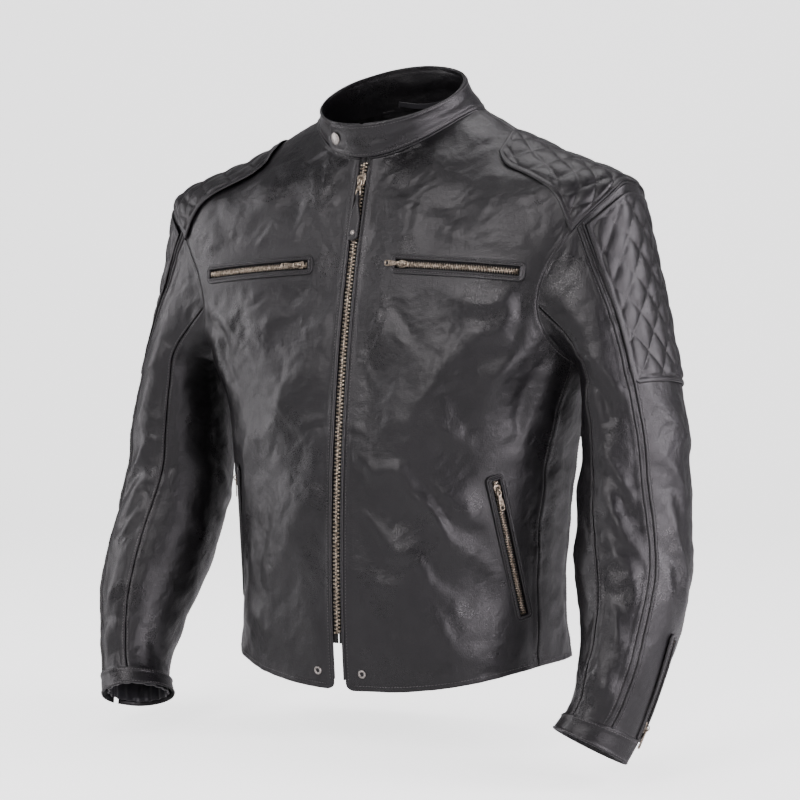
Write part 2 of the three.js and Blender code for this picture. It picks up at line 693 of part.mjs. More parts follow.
const pockets = [
  ['chest', chest, -1, [40, 202], [-260, -140]],
  ['hand', hand, 1, [62, 186], [-538, -363]],
];
for (const [name, track, way, x, z] of pockets) {
  addPair(`${name}_welt`, welt(track), 'leather');
  addPair(`${name}_zip`, pocketZip(track), 'brass');
  addPair(`${name}_slider`, slider(track, POCKET_REST, 1), 'brass');
  add(`${name}_puller_left`, puller(track, POCKET_REST, PULLER_LENGTH, 2.6, way), 'brass');
  add(`${name}_puller_right`, puller(track, POCKET_REST, PULLER_LENGTH, 2.6), 'brass', true);
  addPair(`${name}_bag`, pocketBag(track, x, z), 'lining');
}

const slot = windowBar(wrist, [-6, 6]);
addPair('sleeve_outer', cut(sleevePanel(BACK_SEAM_DEG - 360, PIPED_SEAM_DEG, 12), slot), 'leather');
addPair('sleeve_front', sleevePanel(PIPED_SEAM_DEG, INNER_SEAM_DEG, 4), 'leather');
addPair('sleeve_inner', sleevePanel(INNER_SEAM_DEG, BACK_SEAM_DEG, 9), 'leather');
addPair('sleeve_patch', sleevePatch(), 'quilt');
addPair('cuff', cuff(), 'leather');
addPair('cuff_zip', pocketZip(wrist), 'brass');
addPair('cuff_slider', slider(wrist, POCKET_REST, 1), 'brass');
addPair('cuff_puller', puller(wrist, POCKET_REST, PULLER_LENGTH, 2.6, -1), 'brass');
addPair('sleeve_lining', sleeveLining(), 'lining');
add('body_lining', bodyLining(), 'lining');

export default group;
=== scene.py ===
"""Leather riding jacket: the looks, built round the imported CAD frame.

Lengths are in millimetres until a mesh is made.
"""

import math

import bmesh
import bpy
import numpy as np
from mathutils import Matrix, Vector


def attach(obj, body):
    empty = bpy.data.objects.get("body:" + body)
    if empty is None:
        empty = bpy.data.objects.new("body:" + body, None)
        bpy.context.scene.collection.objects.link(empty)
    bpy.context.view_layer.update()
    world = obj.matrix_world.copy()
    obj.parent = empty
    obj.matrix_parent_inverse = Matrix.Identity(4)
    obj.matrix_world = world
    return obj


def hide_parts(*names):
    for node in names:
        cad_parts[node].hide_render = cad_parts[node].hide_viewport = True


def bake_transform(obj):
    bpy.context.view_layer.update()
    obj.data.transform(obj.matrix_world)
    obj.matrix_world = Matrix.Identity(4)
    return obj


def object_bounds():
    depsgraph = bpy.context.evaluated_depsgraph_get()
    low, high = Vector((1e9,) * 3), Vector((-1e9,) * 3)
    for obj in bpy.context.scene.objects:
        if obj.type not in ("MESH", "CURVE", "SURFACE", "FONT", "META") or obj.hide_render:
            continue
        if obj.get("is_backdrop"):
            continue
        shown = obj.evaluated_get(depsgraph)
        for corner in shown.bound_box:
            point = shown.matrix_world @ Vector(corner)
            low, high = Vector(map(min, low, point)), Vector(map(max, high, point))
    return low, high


bl_info = {
    "name": "Riding jacket",
    "version": (1, 0, 0),
    "blender": (4, 5, 0),
    "location": "View3D > Sidebar > Jacket",
    "description": "Builds a leather riding jacket round its CAD frame",
    "category": "Object",
}

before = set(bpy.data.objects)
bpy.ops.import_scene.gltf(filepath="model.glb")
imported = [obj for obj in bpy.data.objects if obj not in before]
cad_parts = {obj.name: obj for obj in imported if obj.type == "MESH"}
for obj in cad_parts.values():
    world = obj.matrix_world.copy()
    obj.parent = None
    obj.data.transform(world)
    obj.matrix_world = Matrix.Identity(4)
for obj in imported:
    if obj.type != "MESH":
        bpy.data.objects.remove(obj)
START_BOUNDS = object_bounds()
MM = 0.001

# --- the body, sleeve and collar surfaces, as in the CAD part ------------------------------------

SIDE_LENGTH = 598
WIDE = 228
SHOULDER = 278
NECK_HALF = 99
NECK_Z = 16
NECK_FRONT = (-87.0, -36.0)
HEM_FRONT = (-140.0, -600.0)
SAGITTA = 28
BACK = 122
ARMHOLE_DEG = 40
SIDE_SEAM = 14
SLEEVE_FALL = 379
SLEEVE_DEPTH = 74


def mix(a, b, t):
    return a + (b - a) * t


def smooth(low, high, x):
    t = np.clip((np.asarray(x, float) - low) / (high - low), 0, 1)
    return t * t * (3 - 2 * t)


RINGS = np.array(
    [
        [0.985, -27, -14, 0.833 * WIDE, 0, 0.975 * BACK, 2.25],
        [0.871, -15, -6, 0.825 * WIDE, 0, 0.94 * BACK, 2.2],
        [0.763, -8, -3, 0.835 * WIDE, 0, 0.91 * BACK, 2.2],
        [0.654, -4, 0, 0.862 * WIDE, 0, 0.9 * BACK, 2.25],
        [0.545, 0, 0, 0.92 * WIDE, -2, 0.94 * BACK, 2.35],
        [0.453, 0, 0, WIDE, -5, BACK, 2.45],
        [0.37, 0, 0, 1.045 * WIDE, -10, BACK, 2.75],
        [0.294, 0, 0, mix(WIDE, SHOULDER, 0.6), -16, 0.98 * BACK, 3.0],
        [0.219, 0, 4, mix(WIDE, SHOULDER, 1.05), -22, 0.92 * BACK, 2.75],
        [0.1405, -14, 14, SHOULDER, -27, 0.82 * BACK, 2.35],
        [0.0735, -30, 20, mix(NECK_HALF, SHOULDER, 0.48), -17, 0.66 * BACK, 2.15],
        [0, NECK_FRONT[1] - NECK_Z, 16, NECK_HALF, -12, 0.4 * BACK, 2.0],
    ],
    float,
)
NECK, ARMPIT, TIP, ARM_MID, ARM_REACH = 11, 5, 9, 7, 2
STATIONS = [
    [4, 0.02, 29, -0.13, -14, 0, 1.03],
    [7, 0.1, 44, 0.02, -17, 0, 1.0],
    [5, 0.235, 61, 0.195, -21, 2, 0.945],
    [3, 0.38, 68, 0.365, -29, 6, 0.9],
    [12, 0.57, 78, 0.58, -51, 14, 0.84],
    [26, 0.76, 68, 0.77, -84, 10, 0.7],
    [28, 0.9, 54, 0.925, -106, 0, 0.58],
    [16, 0.975, 40, 1.025, -121, -12, 0.54],
]
RIM = len(STATIONS)
PIPED, INNER, BACKSEAM = 58, 112, 250
CUFF_START = 7.35
COLLAR_TOP = {"half": 82, "front": (-97, 0), "back": (33, 74)}


def spline(points, index):
    """Catmull-Rom through points[k] (k, n, 3) or rows (k, m) at fractional indices (n,)."""
    last = len(points) - 1
    i = np.clip(np.floor(index).astype(int), 0, last - 1)
    t = (index - i)[:, None]
    n = np.arange(len(index))

    def pick(k):
        k = np.clip(k, 0, last)
        return points[k, n] if points.ndim == 3 else points[k]

    a, b, c, d = pick(i - 1), pick(i), pick(i + 1), pick(i + 2)
    m, k = (c - a) / 2, (d - b) / 2
    return b + m * t + (3 * (c - b) - 2 * m - k) * t**2 + (2 * (b - c) + m + k) * t**3


def front_arc():
    a, b = np.array(NECK_FRONT), np.array(HEM_FRONT)
    half = np.linalg.norm(b - a) / 2
    radius = (half**2 + SAGITTA**2) / (2 * SAGITTA)
    across = (b - a) / (2 * half)
    return (a + b) / 2 + np.array([-across[1], across[0]]) * (radius - SAGITTA), radius


ARC_CENTRE, ARC_RADIUS = front_arc()


def front_y(z):
    return ARC_CENTRE[0] - np.sqrt(ARC_RADIUS**2 - (z - ARC_CENTRE[1]) ** 2)


def pair(p, q):
    p, q = np.broadcast_arrays(np.asarray(p, float), np.asarray(q, float))
    return p.ravel(), q.ravel()


def body(deg, level):
    """Body points (n, 3) at angles round it (0 front, 90 wearer's left) and ring indices."""
    deg, level = pair(deg, level)
    share, rise, back_rise, half, side_y, back, square = spline(RINGS, level).T
    sin, cos = np.sin(np.radians(deg)), np.cos(np.radians(deg))
    power = 2 / square
    z = NECK_Z - share * SIDE_LENGTH + np.where(cos > 0, rise, back_rise) * cos * cos
    depth = np.where(cos > 0, side_y - front_y(z), side_y - back)
    x = np.sign(sin) * half * np.abs(sin) ** power
    return np.stack([x, side_y - depth * np.abs(cos) ** power, z], 1)


def armhole(deg):
    return 90 - ARMHOLE_DEG * np.sin(np.radians(deg)), ARM_MID + ARM_REACH * np.cos(np.radians(deg))


def station_axes():
    armpit = body(90, ARMPIT)[0]
    inner, outer, depth = [], [], []
    for gap, fall, out, drop, y, behind, deep in STATIONS:
        inner.append([armpit[0] + gap, y - behind / 2, armpit[2] - fall * SLEEVE_FALL])
        outer.append([SHOULDER + out, y + behind / 2, armpit[2] - drop * SLEEVE_FALL])
        depth.append(deep * SLEEVE_DEPTH)
    inner, outer = np.array(inner), np.array(outer)
    centre, wide = (inner + outer) / 2, (outer - inner) / 2
    ends = np.vstack([centre[:1], centre, centre[-1:]])
    deep = np.cross(ends[2:] - ends[:-2], wide)
    return centre, wide, deep / np.linalg.norm(deep, axis=1)[:, None] * np.array(depth)[:, None]


CENTRES, WIDES, DEEPS = station_axes()


def sleeve(deg, station):
    """Left sleeve points at angles round it (0 outside, 90 front) and station numbers."""
    deg, station = pair(deg, station)
    cos, sin = np.cos(np.radians(deg))[:, None], np.sin(np.radians(deg))[:, None]
    rings = [body(*armhole(deg))] + [c + w * cos + d * sin for c, w, d in zip(CENTRES, WIDES, DEEPS)]
    return spline(np.stack(rings), station)


def collar(deg, share):
    """Collar points at angles round the neck and shares of its height."""
    deg, share = pair(deg, share)
    sin, cos = np.sin(np.radians(deg)), np.cos(np.radians(deg))
    foot = body(deg, NECK)
    y = mix(COLLAR_TOP["back"][0], COLLAR_TOP["front"][0], (1 + cos) / 2)
    z = mix(COLLAR_TOP["back"][1], COLLAR_TOP["front"][1], (1 + cos) / 2)
    top = np.stack([COLLAR_TOP["half"] * sin, y, z], 1)
    return foot + (top - foot) * share[:, None]


def normals(at, p, q, step=1e-3):
    n = np.cross(at(p + step, q) - at(p - step, q), at(p, q + step) - at(p, q - step))
    return n / np.maximum(np.linalg.norm(n, axis=1), 1e-12)[:, None]


# --- folds ---------------------------------------------------------------------------------------


def ripple(points, length, seed, count=14):
    """Smooth random waves of about one wavelength, between -1 and 1."""
    rng = np.random.RandomState(seed)
    total = np.zeros(len(points))
    for _ in range(count):
        way = rng.normal(size=3)
        way *= 2 * math.pi / (length * rng.uniform(0.7, 1.6)) / np.linalg.norm(way)
        total += np.sin(points @ way + rng.uniform(0, 6.28))
    return total / math.sqrt(count)


def front_angle(x, z):
    """Angle and ring index on the front of the body that show at x and z."""
    x, z = pair(x, z)
    low, high = np.zeros(len(x)), np.full(len(x), float(NECK))
    for _ in range(30):
        level = (low + high) / 2
        rows = spline(RINGS, level)
        deg = np.degrees(np.arcsin(np.clip(np.abs(x) / rows[:, 3], 0, 1) ** (rows[:, 6] / 2)))
        below = body(deg, level)[:, 2] < z
        low, high = np.where(below, level, low), np.where(below, high, level)
    return np.sign(x) * deg, low


# Creases: start, end, width and height in mm. Front and back ones are x and z, sleeve ones angle and station.
FRONT_FOLDS = [
    (62, -372, 116, -424, 9, 2.6), (88, -392, 158, -486, 11, 2.8), (46, -420, 122, -506, 10, 2.4),
    (60, -478, 138, -560, 11, 2.2), (30, -352, 92, -384, 8, 1.8), (108, -372, 168, -420, 9, 1.8),
    (26, -500, 84, -572, 9, 1.4), (96, -316, 150, -350, 12, 1.8), (-64, -326, 34, -330, 4, -1.6),
    (-60, -318, 30, -321, 5, 1.2), (206, -212, 150, -300, 12, 3.4), (214, -236, 172, -330, 12, -3.2),
    (200, -190, 120, -250, 14, 2.2), (196, -170, 132, -196, 10, 1.6), (204, -156, 176, -226, 8, -2.2),
    (-206, -212, -158, -296, 12, 3.2), (-214, -240, -176, -322, 12, -3.0), (-200, -190, -130, -246, 14, 2.0),
    (-130, -330, -150, -460, 16, 2.4), (-60, -250, -96, -340, 16, 1.8), (-96, -380, -120, -520, 14, -1.8),
    (-30, -380, -70, -470, 12, 1.4), (60, -96, 128, -128, 12, 1.4), (-60, -96, -124, -132, 12, 1.4),
    (168, -430, 120, -400, 8, 1.6), (150, -560, 60, -520, 10, 1.3), (40, -210, 96, -262, 12, 1.5),
    (-150, -520, -60, -566, 12, 1.6), (120, -262, 60, -312, 12, 1.6), (-40, -180, -110, -222, 12, 1.2),
]
BACK_FOLDS = [
    (-200, -190, -90, -230, 14, 2.6), (200, -190, 90, -230, 14, 2.6), (-140, -340, 120, -360, 13, 2.2),
    (-120, -400, 150, -388, 12, 2.2), (-150, -450, 90, -440, 12, 1.8), (-190, -250, -130, -330, 12, 2.4),
    (190, -250, 130, -330, 12, 2.4), (-60, -90, -150, -120, 14, 1.6), (60, -90, 150, -120, 14, 1.6),
]
SLEEVE_FOLDS = [
    (104, 1.2, 60, 2.2, 9, 2.6), (120, 1.5, 84, 2.8, 10, -2.6), (118, 0.9, 80, 1.6, 9, 2.2),
    (98, 3.3, 60, 4.2, 8, 2.2), (104, 3.9, 64, 4.9, 8, 2.6), (100, 4.6, 66, 5.3, 8, 2.2),
    (84, 4.1, 66, 4.5, 6, -1.8),
    (44, 4.0, 4, 5.2, 9, 2.4), (48, 4.5, 16, 5.6, 8, -2.0), (40, 5.0, 6, 5.9, 9, 2.2),
    (38, 3.2, 6, 4.0, 10, 1.6),
    (92, 5.6, 62, 6.3, 7, 1.8), (96, 6.2, 60, 6.6, 6, -1.4), (84, 6.6, 54, 7.0, 6, 1.4),
    (30, 6.1, 0, 6.8, 8, 1.6),
    (150, 2.2, 200, 3.4, 10, 2.0), (140, 3.6, 220, 4.2, 10, 2.4), (150, 4.6, 230, 5.0, 9, 2.0),
    (-20, 3.6, -80, 4.6, 10, 2.0), (-30, 4.8, -90, 5.6, 10, 2.0), (20, 2.6, -30, 3.2, 12, 1.4),
]


def fold_paths():
    """Each fold as points of a polyline on the surface, its width and its height."""
    t = np.linspace(0, 1, 9)
    out = []
    for x0, z0, x1, z1, width, height in FRONT_FOLDS:
        out.append((body(*front_angle(mix(x0, x1, t), mix(z0, z1, t))), width, height))
    for x0, z0, x1, z1, width, height in BACK_FOLDS:
        deg, level = front_angle(mix(x0, x1, t), mix(z0, z1, t))
        out.append((body(180 - deg, level), width, height))
    for side in (1, -1):
        for a0, s0, a1, s1, width, height in SLEEVE_FOLDS:
            points = sleeve(mix(a0, a1, t), mix(s0, s1, t)) * [side, 1, 1]
            out.append((points, width, height * (1 if side == 1 else 0.85)))
    return out


FOLDS = fold_paths()


def free_relief(points):
    """How far the leather stands out at each point because of folds and softness."""
    waves = 1.9 * ripple(points, 115, 3) + 0.75 * ripple(points, 46, 5)
    bend = points + 5 * np.stack([ripple(points, 60, k, 6) for k in (11, 12, 13)], 1)
    waves += 0.3 * ripple(bend, 20, 7) + 0.13 * ripple(bend, 9, 8, 20)
    for path, width, height in FOLDS:
        near = np.abs(points - path.mean(0)).max(1) < 130 + 4 * width
        if not near.any():
            continue
        p = bend[near]
        best = np.full(len(p), 1e9)
        along = np.zeros(len(p))
        for k in range(len(path) - 1):
            a, d = path[k], path[k + 1] - path[k]
            t = np.clip((p - a) @ d / (d @ d), 0, 1)
            gap = ((p - a - t[:, None] * d) ** 2).sum(1)
            closer = gap < best
            best, along = np.where(closer, gap, best), np.where(closer, k + t, along)
        taper = np.sin(np.clip((along + 0.6) / (len(path) + 0.2), 0, 1) * math.pi) ** 0.7
        waves[near] += 1.5 * height * taper * np.exp(-best / (width * width))
    return waves


# --- meshes --------------------------------------------------------------------------------------


def finish_mesh(name, bm, material, shade=True):
    mesh = bpy.data.meshes.new(name)
    bm.to_mesh(mesh)
    bm.free()
    obj = bpy.data.objects.new(name, mesh)
    bpy.context.scene.collection.objects.link(obj)
    mesh.materials.append(material)
    for polygon in mesh.polygons:
        polygon.use_smooth = shade
    return obj


def grid_into(bm, points, nu, nv, out=None, wrap=False):
    """Adds a grid of nu by nv points, in mm, u fastest. Its faces are turned to the outward normals out."""
    made = bmesh.ops.create_grid(bm, x_segments=nu - 1, y_segments=nv - 1, size=0.5)["verts"]
    made.sort(key=lambda v: (round((v.co.y + 0.5) * (nv - 1)), v.co.x))
    for vert, point in zip(made, points):
        vert.co = Vector(point) * MM
    if out is not None:
        face = made[nu * (nv // 2) + nu // 2].link_faces[0]
        face.normal_update()
        k = nu * (nv // 2) + nu // 2
        if face.normal.dot(Vector(out[k])) < 0:
            bmesh.ops.reverse_faces(bm, faces=list({f for v in made for f in v.link_faces}))
    return made


def even(at, region, nu, nv, edge):
    """Samples region(u, v) so that u steps are even in mm, with extra columns near both ends."""
    v = np.linspace(0, 1, nv) if np.isscalar(nv) else np.asarray(nv)
    dense = np.linspace(0, 1, 240)
    grid_p, grid_q = [], []
    distance = np.zeros((len(v), nu + 2 * len(edge)))
    for k, row in enumerate(v):
        p, q = pair(*region(dense, row))
        line = at(p, q)
        run = np.concatenate([[0], np.cumsum(np.linalg.norm(np.diff(line, axis=0), axis=1))])
        total = run[-1]
        near = np.minimum(np.array(edge), total * 0.4 * np.arange(len(edge)) / len(edge))
        start = max(edge[-1] + 1.5, 0.0) if total > 6 * edge[-1] else total * 0.42
        marks = np.concatenate([near, np.linspace(start, total - start, nu), total - near[::-1]])
        grid_p.append(np.interp(marks, run, p))
        grid_q.append(np.interp(marks, run, q))
        distance[k] = np.minimum(marks, total - marks)
    return np.array(grid_p).ravel(), np.array(grid_q).ravel(), distance.ravel(), distance.shape[1], len(v)


EDGE = (0.0, 0.35, 0.9, 1.7, 3.0)


def rolled(distance, radius=1.4, lip=0.55, reach=6.0):
    """Lift near a turned edge: it rolls under, with a slight welt of doubled leather behind it."""
    d = np.clip(distance, 0, None)
    inside = np.clip(1 - d / radius, 0, 1)
    return -radius * (
        1 - np.sqrt(np.clip(1 - inside**2, 0, 1))
    ) + lip * (1 - smooth(reach - 2, reach + 1.5, d))


def row_marks(count, length, first=True, last=True):
    """Shares along v: even, with extra rows near the ends. length is about how long v is, in mm."""
    near = np.array(EDGE) / length
    start = (EDGE[-1] + 1.5) / length
    return np.concatenate([near, np.linspace(start, 1 - start, count), 1 - near[::-1]])


def skin(
    name, material, at, region, nu, nv, length, side=1, lift=None, ends=(True, True), thick=1.6, folds=1.0,
    hole=None, base=0.0
):
    """A leather piece on a surface: even grid, folds, rolled edges and thickness."""
    marks = row_marks(nv, length)
    p, q, across, cols, rows = even(at, region, nu, marks, EDGE)
    points, out = at(p, q), normals(at, p, q)
    if side < 0:
        points, out = points * [-1, 1, 1], out * [-1, 1, 1]
    v = np.repeat(marks, cols) * length
    up = np.minimum(v if ends[0] else 1e3, (length - v) if ends[1] else 1e3)
    edge = np.minimum(across, up)
    height = base + folds * relief(points) + rolled(edge)
    if lift is not None:
        height = height + lift(p, q, edge, points)
    placed = points + out * height[:, None]
    bm = bmesh.new()
    made = grid_into(bm, placed, cols, rows, out)
    if hole is not None:
        gone = [f for f in bm.faces if hole(np.array(f.calc_center_median()) / MM)]
        bmesh.ops.delete(bm, geom=gone, context="FACES")
    obj = finish_mesh(name, bm, material)
    wall = obj.modifiers.new("Wall", "SOLIDIFY")
    wall.thickness = thick * MM
    wall.offset = -1
    return obj


def tube_into(bm, points, out, radii, sides=6):
    """A tube along points (n, 3), whose start direction round it is out."""
    tangent = np.gradient(points, axis=0)
    tangent /= np.maximum(np.linalg.norm(tangent, axis=1), 1e-9)[:, None]
    across = np.cross(tangent, out)
    across /= np.maximum(np.linalg.norm(across, axis=1), 1e-9)[:, None]
    up = np.cross(across, tangent)
    angle = np.linspace(0, 2 * math.pi, sides + 1)
    radii = np.broadcast_to(radii, len(points))
    ring = up[:, None] * np.cos(angle)[None, :, None] + across[:, None] * np.sin(angle)[None, :, None]
    placed = points[:, None] + ring * radii[:, None, None]
    made = grid_into(bm, placed.reshape(-1, 3), sides + 1, len(points), ring.reshape(-1, 3))
    bmesh.ops.remove_doubles(bm, verts=made, dist=1e-7)


def resample(points, out, step):
    run = np.concatenate([[0], np.cumsum(np.linalg.norm(np.diff(points, axis=0), axis=1))])
    count = max(3, int(run[-1] / step) + 1)
    marks = np.linspace(0, run[-1], count)
    new = np.stack([np.interp(marks, run, points[:, k]) for k in range(3)], 1)
    normal = np.stack([np.interp(marks, run, out[:, k]) for k in range(3)], 1)
    return new, normal / np.linalg.norm(normal, axis=1)[:, None], marks


def thread_into(bm, points, out, pitch=3.4, radius=0.32, lift=0.12):
    """A row of stitches: one thread that dives into the leather between them."""
    new, normal, marks = resample(points, out, pitch / 4)
    wave = np.cos(marks / pitch * 2 * math.pi)
    new = new + normal * (lift + 0.42 * wave - 0.1)[:, None]
    tube_into(bm, new, normal, radius * (0.8 + 0.2 * wave), 5)


def on_skin(at, p, q, side=1, lift=0.0, folds=1.0):
    """Points and normals over the finished leather at surface coordinates."""
    p, q = pair(p, q)
    points, out = at(p, q), normals(at, p, q)
    if side < 0:
        points, out = points * [-1, 1, 1], out * [-1, 1, 1]
    return points + out * (folds * relief(points) + lift)[:, None], out


# --- zip tracks ----------------------------------------------------------------------------------


class Track:
    """An arc from start to end over middle, with a frame of side, along and out at each distance."""

    def __init__(self, start, middle, end, normal):
        along = end - start
        half = np.linalg.norm(along) / 2
        along = along / (2 * half)
        out = normal - along * (normal @ along)
        out /= np.linalg.norm(out)
        chord = (start + end) / 2
        rise = (middle - chord) @ out
        self.radius = (half**2 + rise**2) / (2 * rise)
        self.centre = chord + out * (rise - self.radius)
        self.reach = math.asin(half / self.radius)
        self.along, self.out, self.side = along, out, np.cross(out, along)
        self.length = 2 * self.reach * self.radius
        self.ends = (start, end)

    def axes(self, distance):
        angle = (np.asarray(distance, float) / self.radius - self.reach)[..., None]
        out = self.out * np.cos(angle) + self.along * np.sin(angle)
        return self.side + 0 * out, np.cross(self.side + 0 * out, out), out

    def at(self, distance, across=0.0, out=0.0):
        distance, across, out = np.broadcast_arrays(np.asarray(distance, float), across, out)
        side, _, up = self.axes(distance)
        return self.centre + up * (self.radius + out)[..., None] + side * across[..., None]


def front_point(x, z):
    return body(*front_angle(x, z))[0]


def pocket_track(start, end):
    x, z = (start[0] + end[0]) / 2, (start[1] + end[1]) / 2
    deg, level = front_angle(x, z)
    return Track(front_point(*start), front_point(x, z), front_point(*end), normals(body, deg, level)[0])


def front_track():
    top, bottom = -40, -542
    point = [np.array([0, front_y(z), z]) for z in (top, (top + bottom) / 2, bottom)]
    return Track(*point, np.array([0.0, -1.0, 0.0]))


def cuff_track():
    deg, station = np.array([-18, -7, 4.0]), np.array([7.25, 6.5, 5.75])
    point = sleeve(deg, station)
    return Track(*point, normals(sleeve, deg[1:2], station[1:2])[0])


CHEST = pocket_track((55, -150), (191, -159))
HAND = pocket_track((160, -375), (176, -516))
FRONT = front_track()
WRIST = cuff_track()


def calm(points):
    """1 where the leather is free to fold, and small near the zips that hold it flat."""
    free = np.where(points[:, 1] < -30, 0.12 + 0.88 * smooth(7, 34, np.abs(points[:, 0])), 1.0)
    for track in (CHEST, HAND, WRIST):
        for side in (1, -1):
            p = points * [side, 1, 1]
            a, b = track.ends
            t = np.clip((p - a) @ (b - a) / ((b - a) @ (b - a)), 0, 1)
            gap = np.linalg.norm(p - a - t[:, None] * (b - a), axis=1)
            free = free * (0.1 + 0.9 * smooth(12, 36, gap))
    return free


def relief(points):
    """The folds, calmed near the zips."""
    return free_relief(points) * calm(points)


# --- small solid shapes --------------------------------------------------------------------------


def sweep_into(bm, centre, across, up, half_w, half_h, power=3.0, sides=16):
    """A closed bar with rounded rectangular sections, at centres (n, 3) with half sizes at each."""
    angle = np.linspace(0, 2 * math.pi, sides + 1)
    c, s = np.cos(angle), np.sin(angle)
    x = np.sign(c) * np.abs(c) ** (2 / power)
    y = np.sign(s) * np.abs(s) ** (2 / power)
    n = len(centre)
    across, up = np.broadcast_to(across, (n, 3)), np.broadcast_to(up, (n, 3))
    w, h = np.broadcast_to(half_w, n).astype(float), np.broadcast_to(half_h, n).astype(float)
    ring = across[:, None] * (
        x[None] * w[:, None]
    )[..., None] + up[:, None] * (y[None] * h[:, None])[..., None]
    ring = np.concatenate([ring[:1] * 0, ring, ring[-1:] * 0])
    middle = np.concatenate([centre[:1], centre, centre[-1:]])
    made = grid_into(bm, (middle[:, None] + ring).reshape(-1, 3), sides + 1, n + 2, ring.reshape(-1, 3))
    bmesh.ops.remove_doubles(bm, verts=made, dist=1e-7)


def block_into(bm, place, axes, sizes, bevel):
    """A bevelled block: its centre, three axes and full sizes."""
    made = bmesh.ops.create_cube(bm, size=1.0)["verts"]
    for v in made:
        offset = sum(np.array(axes[k]) * sizes[k] * v.co[k] for k in range(3))
        v.co = Vector(np.array(place) + offset) * MM
    edges = list({e for v in made for e in v.link_edges})
    if bevel:
        bmesh.ops.bevel(
            bm, geom=edges, offset=bevel * MM, affect="EDGES", segments=2, profile=0.5, material=-1
        )


def lathe_into(bm, profile, point, out, steps=40):
    """A turned piece: profile of (radius, height) pairs about a point and a direction."""
    turn = Vector((0, 0, 1)).rotation_difference(Vector(out)).to_matrix()
    verts = [bm.verts.new(Vector((r, 0, h)) * MM) for r, h in profile]
    edges = [bm.edges.new(pair_) for pair_ in zip(verts, verts[1:])]
    made = bmesh.ops.spin(
        bm, geom=verts + edges, cent=(0, 0, 0), axis=(0, 0, 1), angle=2 * math.pi, steps=steps, use_merge=True
    )
    every = list({v for f in bm.faces for v in f.verts if not v.tag} | set(verts))
    for v in every:
        v.co = turn @ v.co + Vector(point) * MM
        v.tag = True
    bmesh.ops.remove_doubles(bm, verts=every, dist=1e-7)


def closed_mesh(name, bm, material):
    bmesh.ops.recalc_face_normals(bm, faces=bm.faces)
    return finish_mesh(name, bm, material)


# --- materials -----------------------------------------------------------------------------------


class Value:
    """A shader socket that takes part in sums."""

    def __init__(self, shader, socket):
        self.shader, self.socket = shader, socket

    def _with(self, operation, *others):
        return self.shader.node("ShaderNodeMath", {"operation": operation}, *others).out(0)

    def __add__(self, other):
        return self._with("ADD", self, other)

    def __sub__(self, other):
        return self._with("SUBTRACT", self, other)

    def __rsub__(self, other):
        return self._with("SUBTRACT", other, self)

    def __mul__(self, other):
        return self._with("MULTIPLY", self, other)

    def __pow__(self, other):
        return self._with("POWER", self, other)

    __radd__, __rmul__ = __add__, __mul__

    def ramp(self, low, high, to_low=0.0, to_high=1.0):
        settings = {"clamp": True, "interpolation_type": "SMOOTHSTEP"}
        return self.shader.node("ShaderNodeMapRange", settings, self, low, high, to_low, to_high).out(0)


class Node:
    def __init__(self, shader, node):
        self.shader, self.node = shader, node

    def out(self, key):
        return Value(self.shader, self.node.outputs[key])


class Shader:
    """A material, or a world, whose surface inputs are set from values."""

    def __init__(self, name, owners=None, surface="Principled BSDF"):
        self.material = (bpy.data.materials if owners is None else owners).new(name)
        self.material.use_nodes = True
        self.tree = self.material.node_tree
        self.surface = self.tree.nodes[surface]

    def put(self, socket, value):
        if isinstance(value, Value):
            self.tree.links.new(value.socket, socket)
        elif value is not None:
            socket.default_value = value

    def node(self, kind, settings=None, *values, **named):
        node = self.tree.nodes.new(kind)
        for key, value in (settings or {}).items():
            setattr(node, key, value)
        for socket, value in zip(node.inputs, values):
            self.put(socket, value)
        for key, value in named.items():
            self.put(node.inputs[key], value)
        return Node(self, node)

    def place(self):
        return self.node("ShaderNodeTexCoord").out("Object")

    def noise(self, scale, detail=2.0, where=None, rough=0.5):
        node = self.node(
            "ShaderNodeTexNoise", None, Scale=scale, Detail=detail, Roughness=rough,
            Vector=where or self.place()
        )
        return node.out(0)

    def blend(self, factor, low, high):
        mixer = self.node("ShaderNodeMix", {"data_type": "RGBA"})
        for index, value in ((0, factor), (6, low), (7, high)):
            self.put(mixer.node.inputs[index], value)
        return Value(self, mixer.node.outputs[2])

    def bump(self, height, distance, strength=1.0, normal=None):
        return self.node(
            "ShaderNodeBump", None, Strength=strength, Distance=distance, Height=height, Normal=normal
        ).out(0)

    def done(self, **inputs):
        for key, value in inputs.items():
            self.put(self.surface.inputs[key.replace("_", " ")], value)
        return self.material


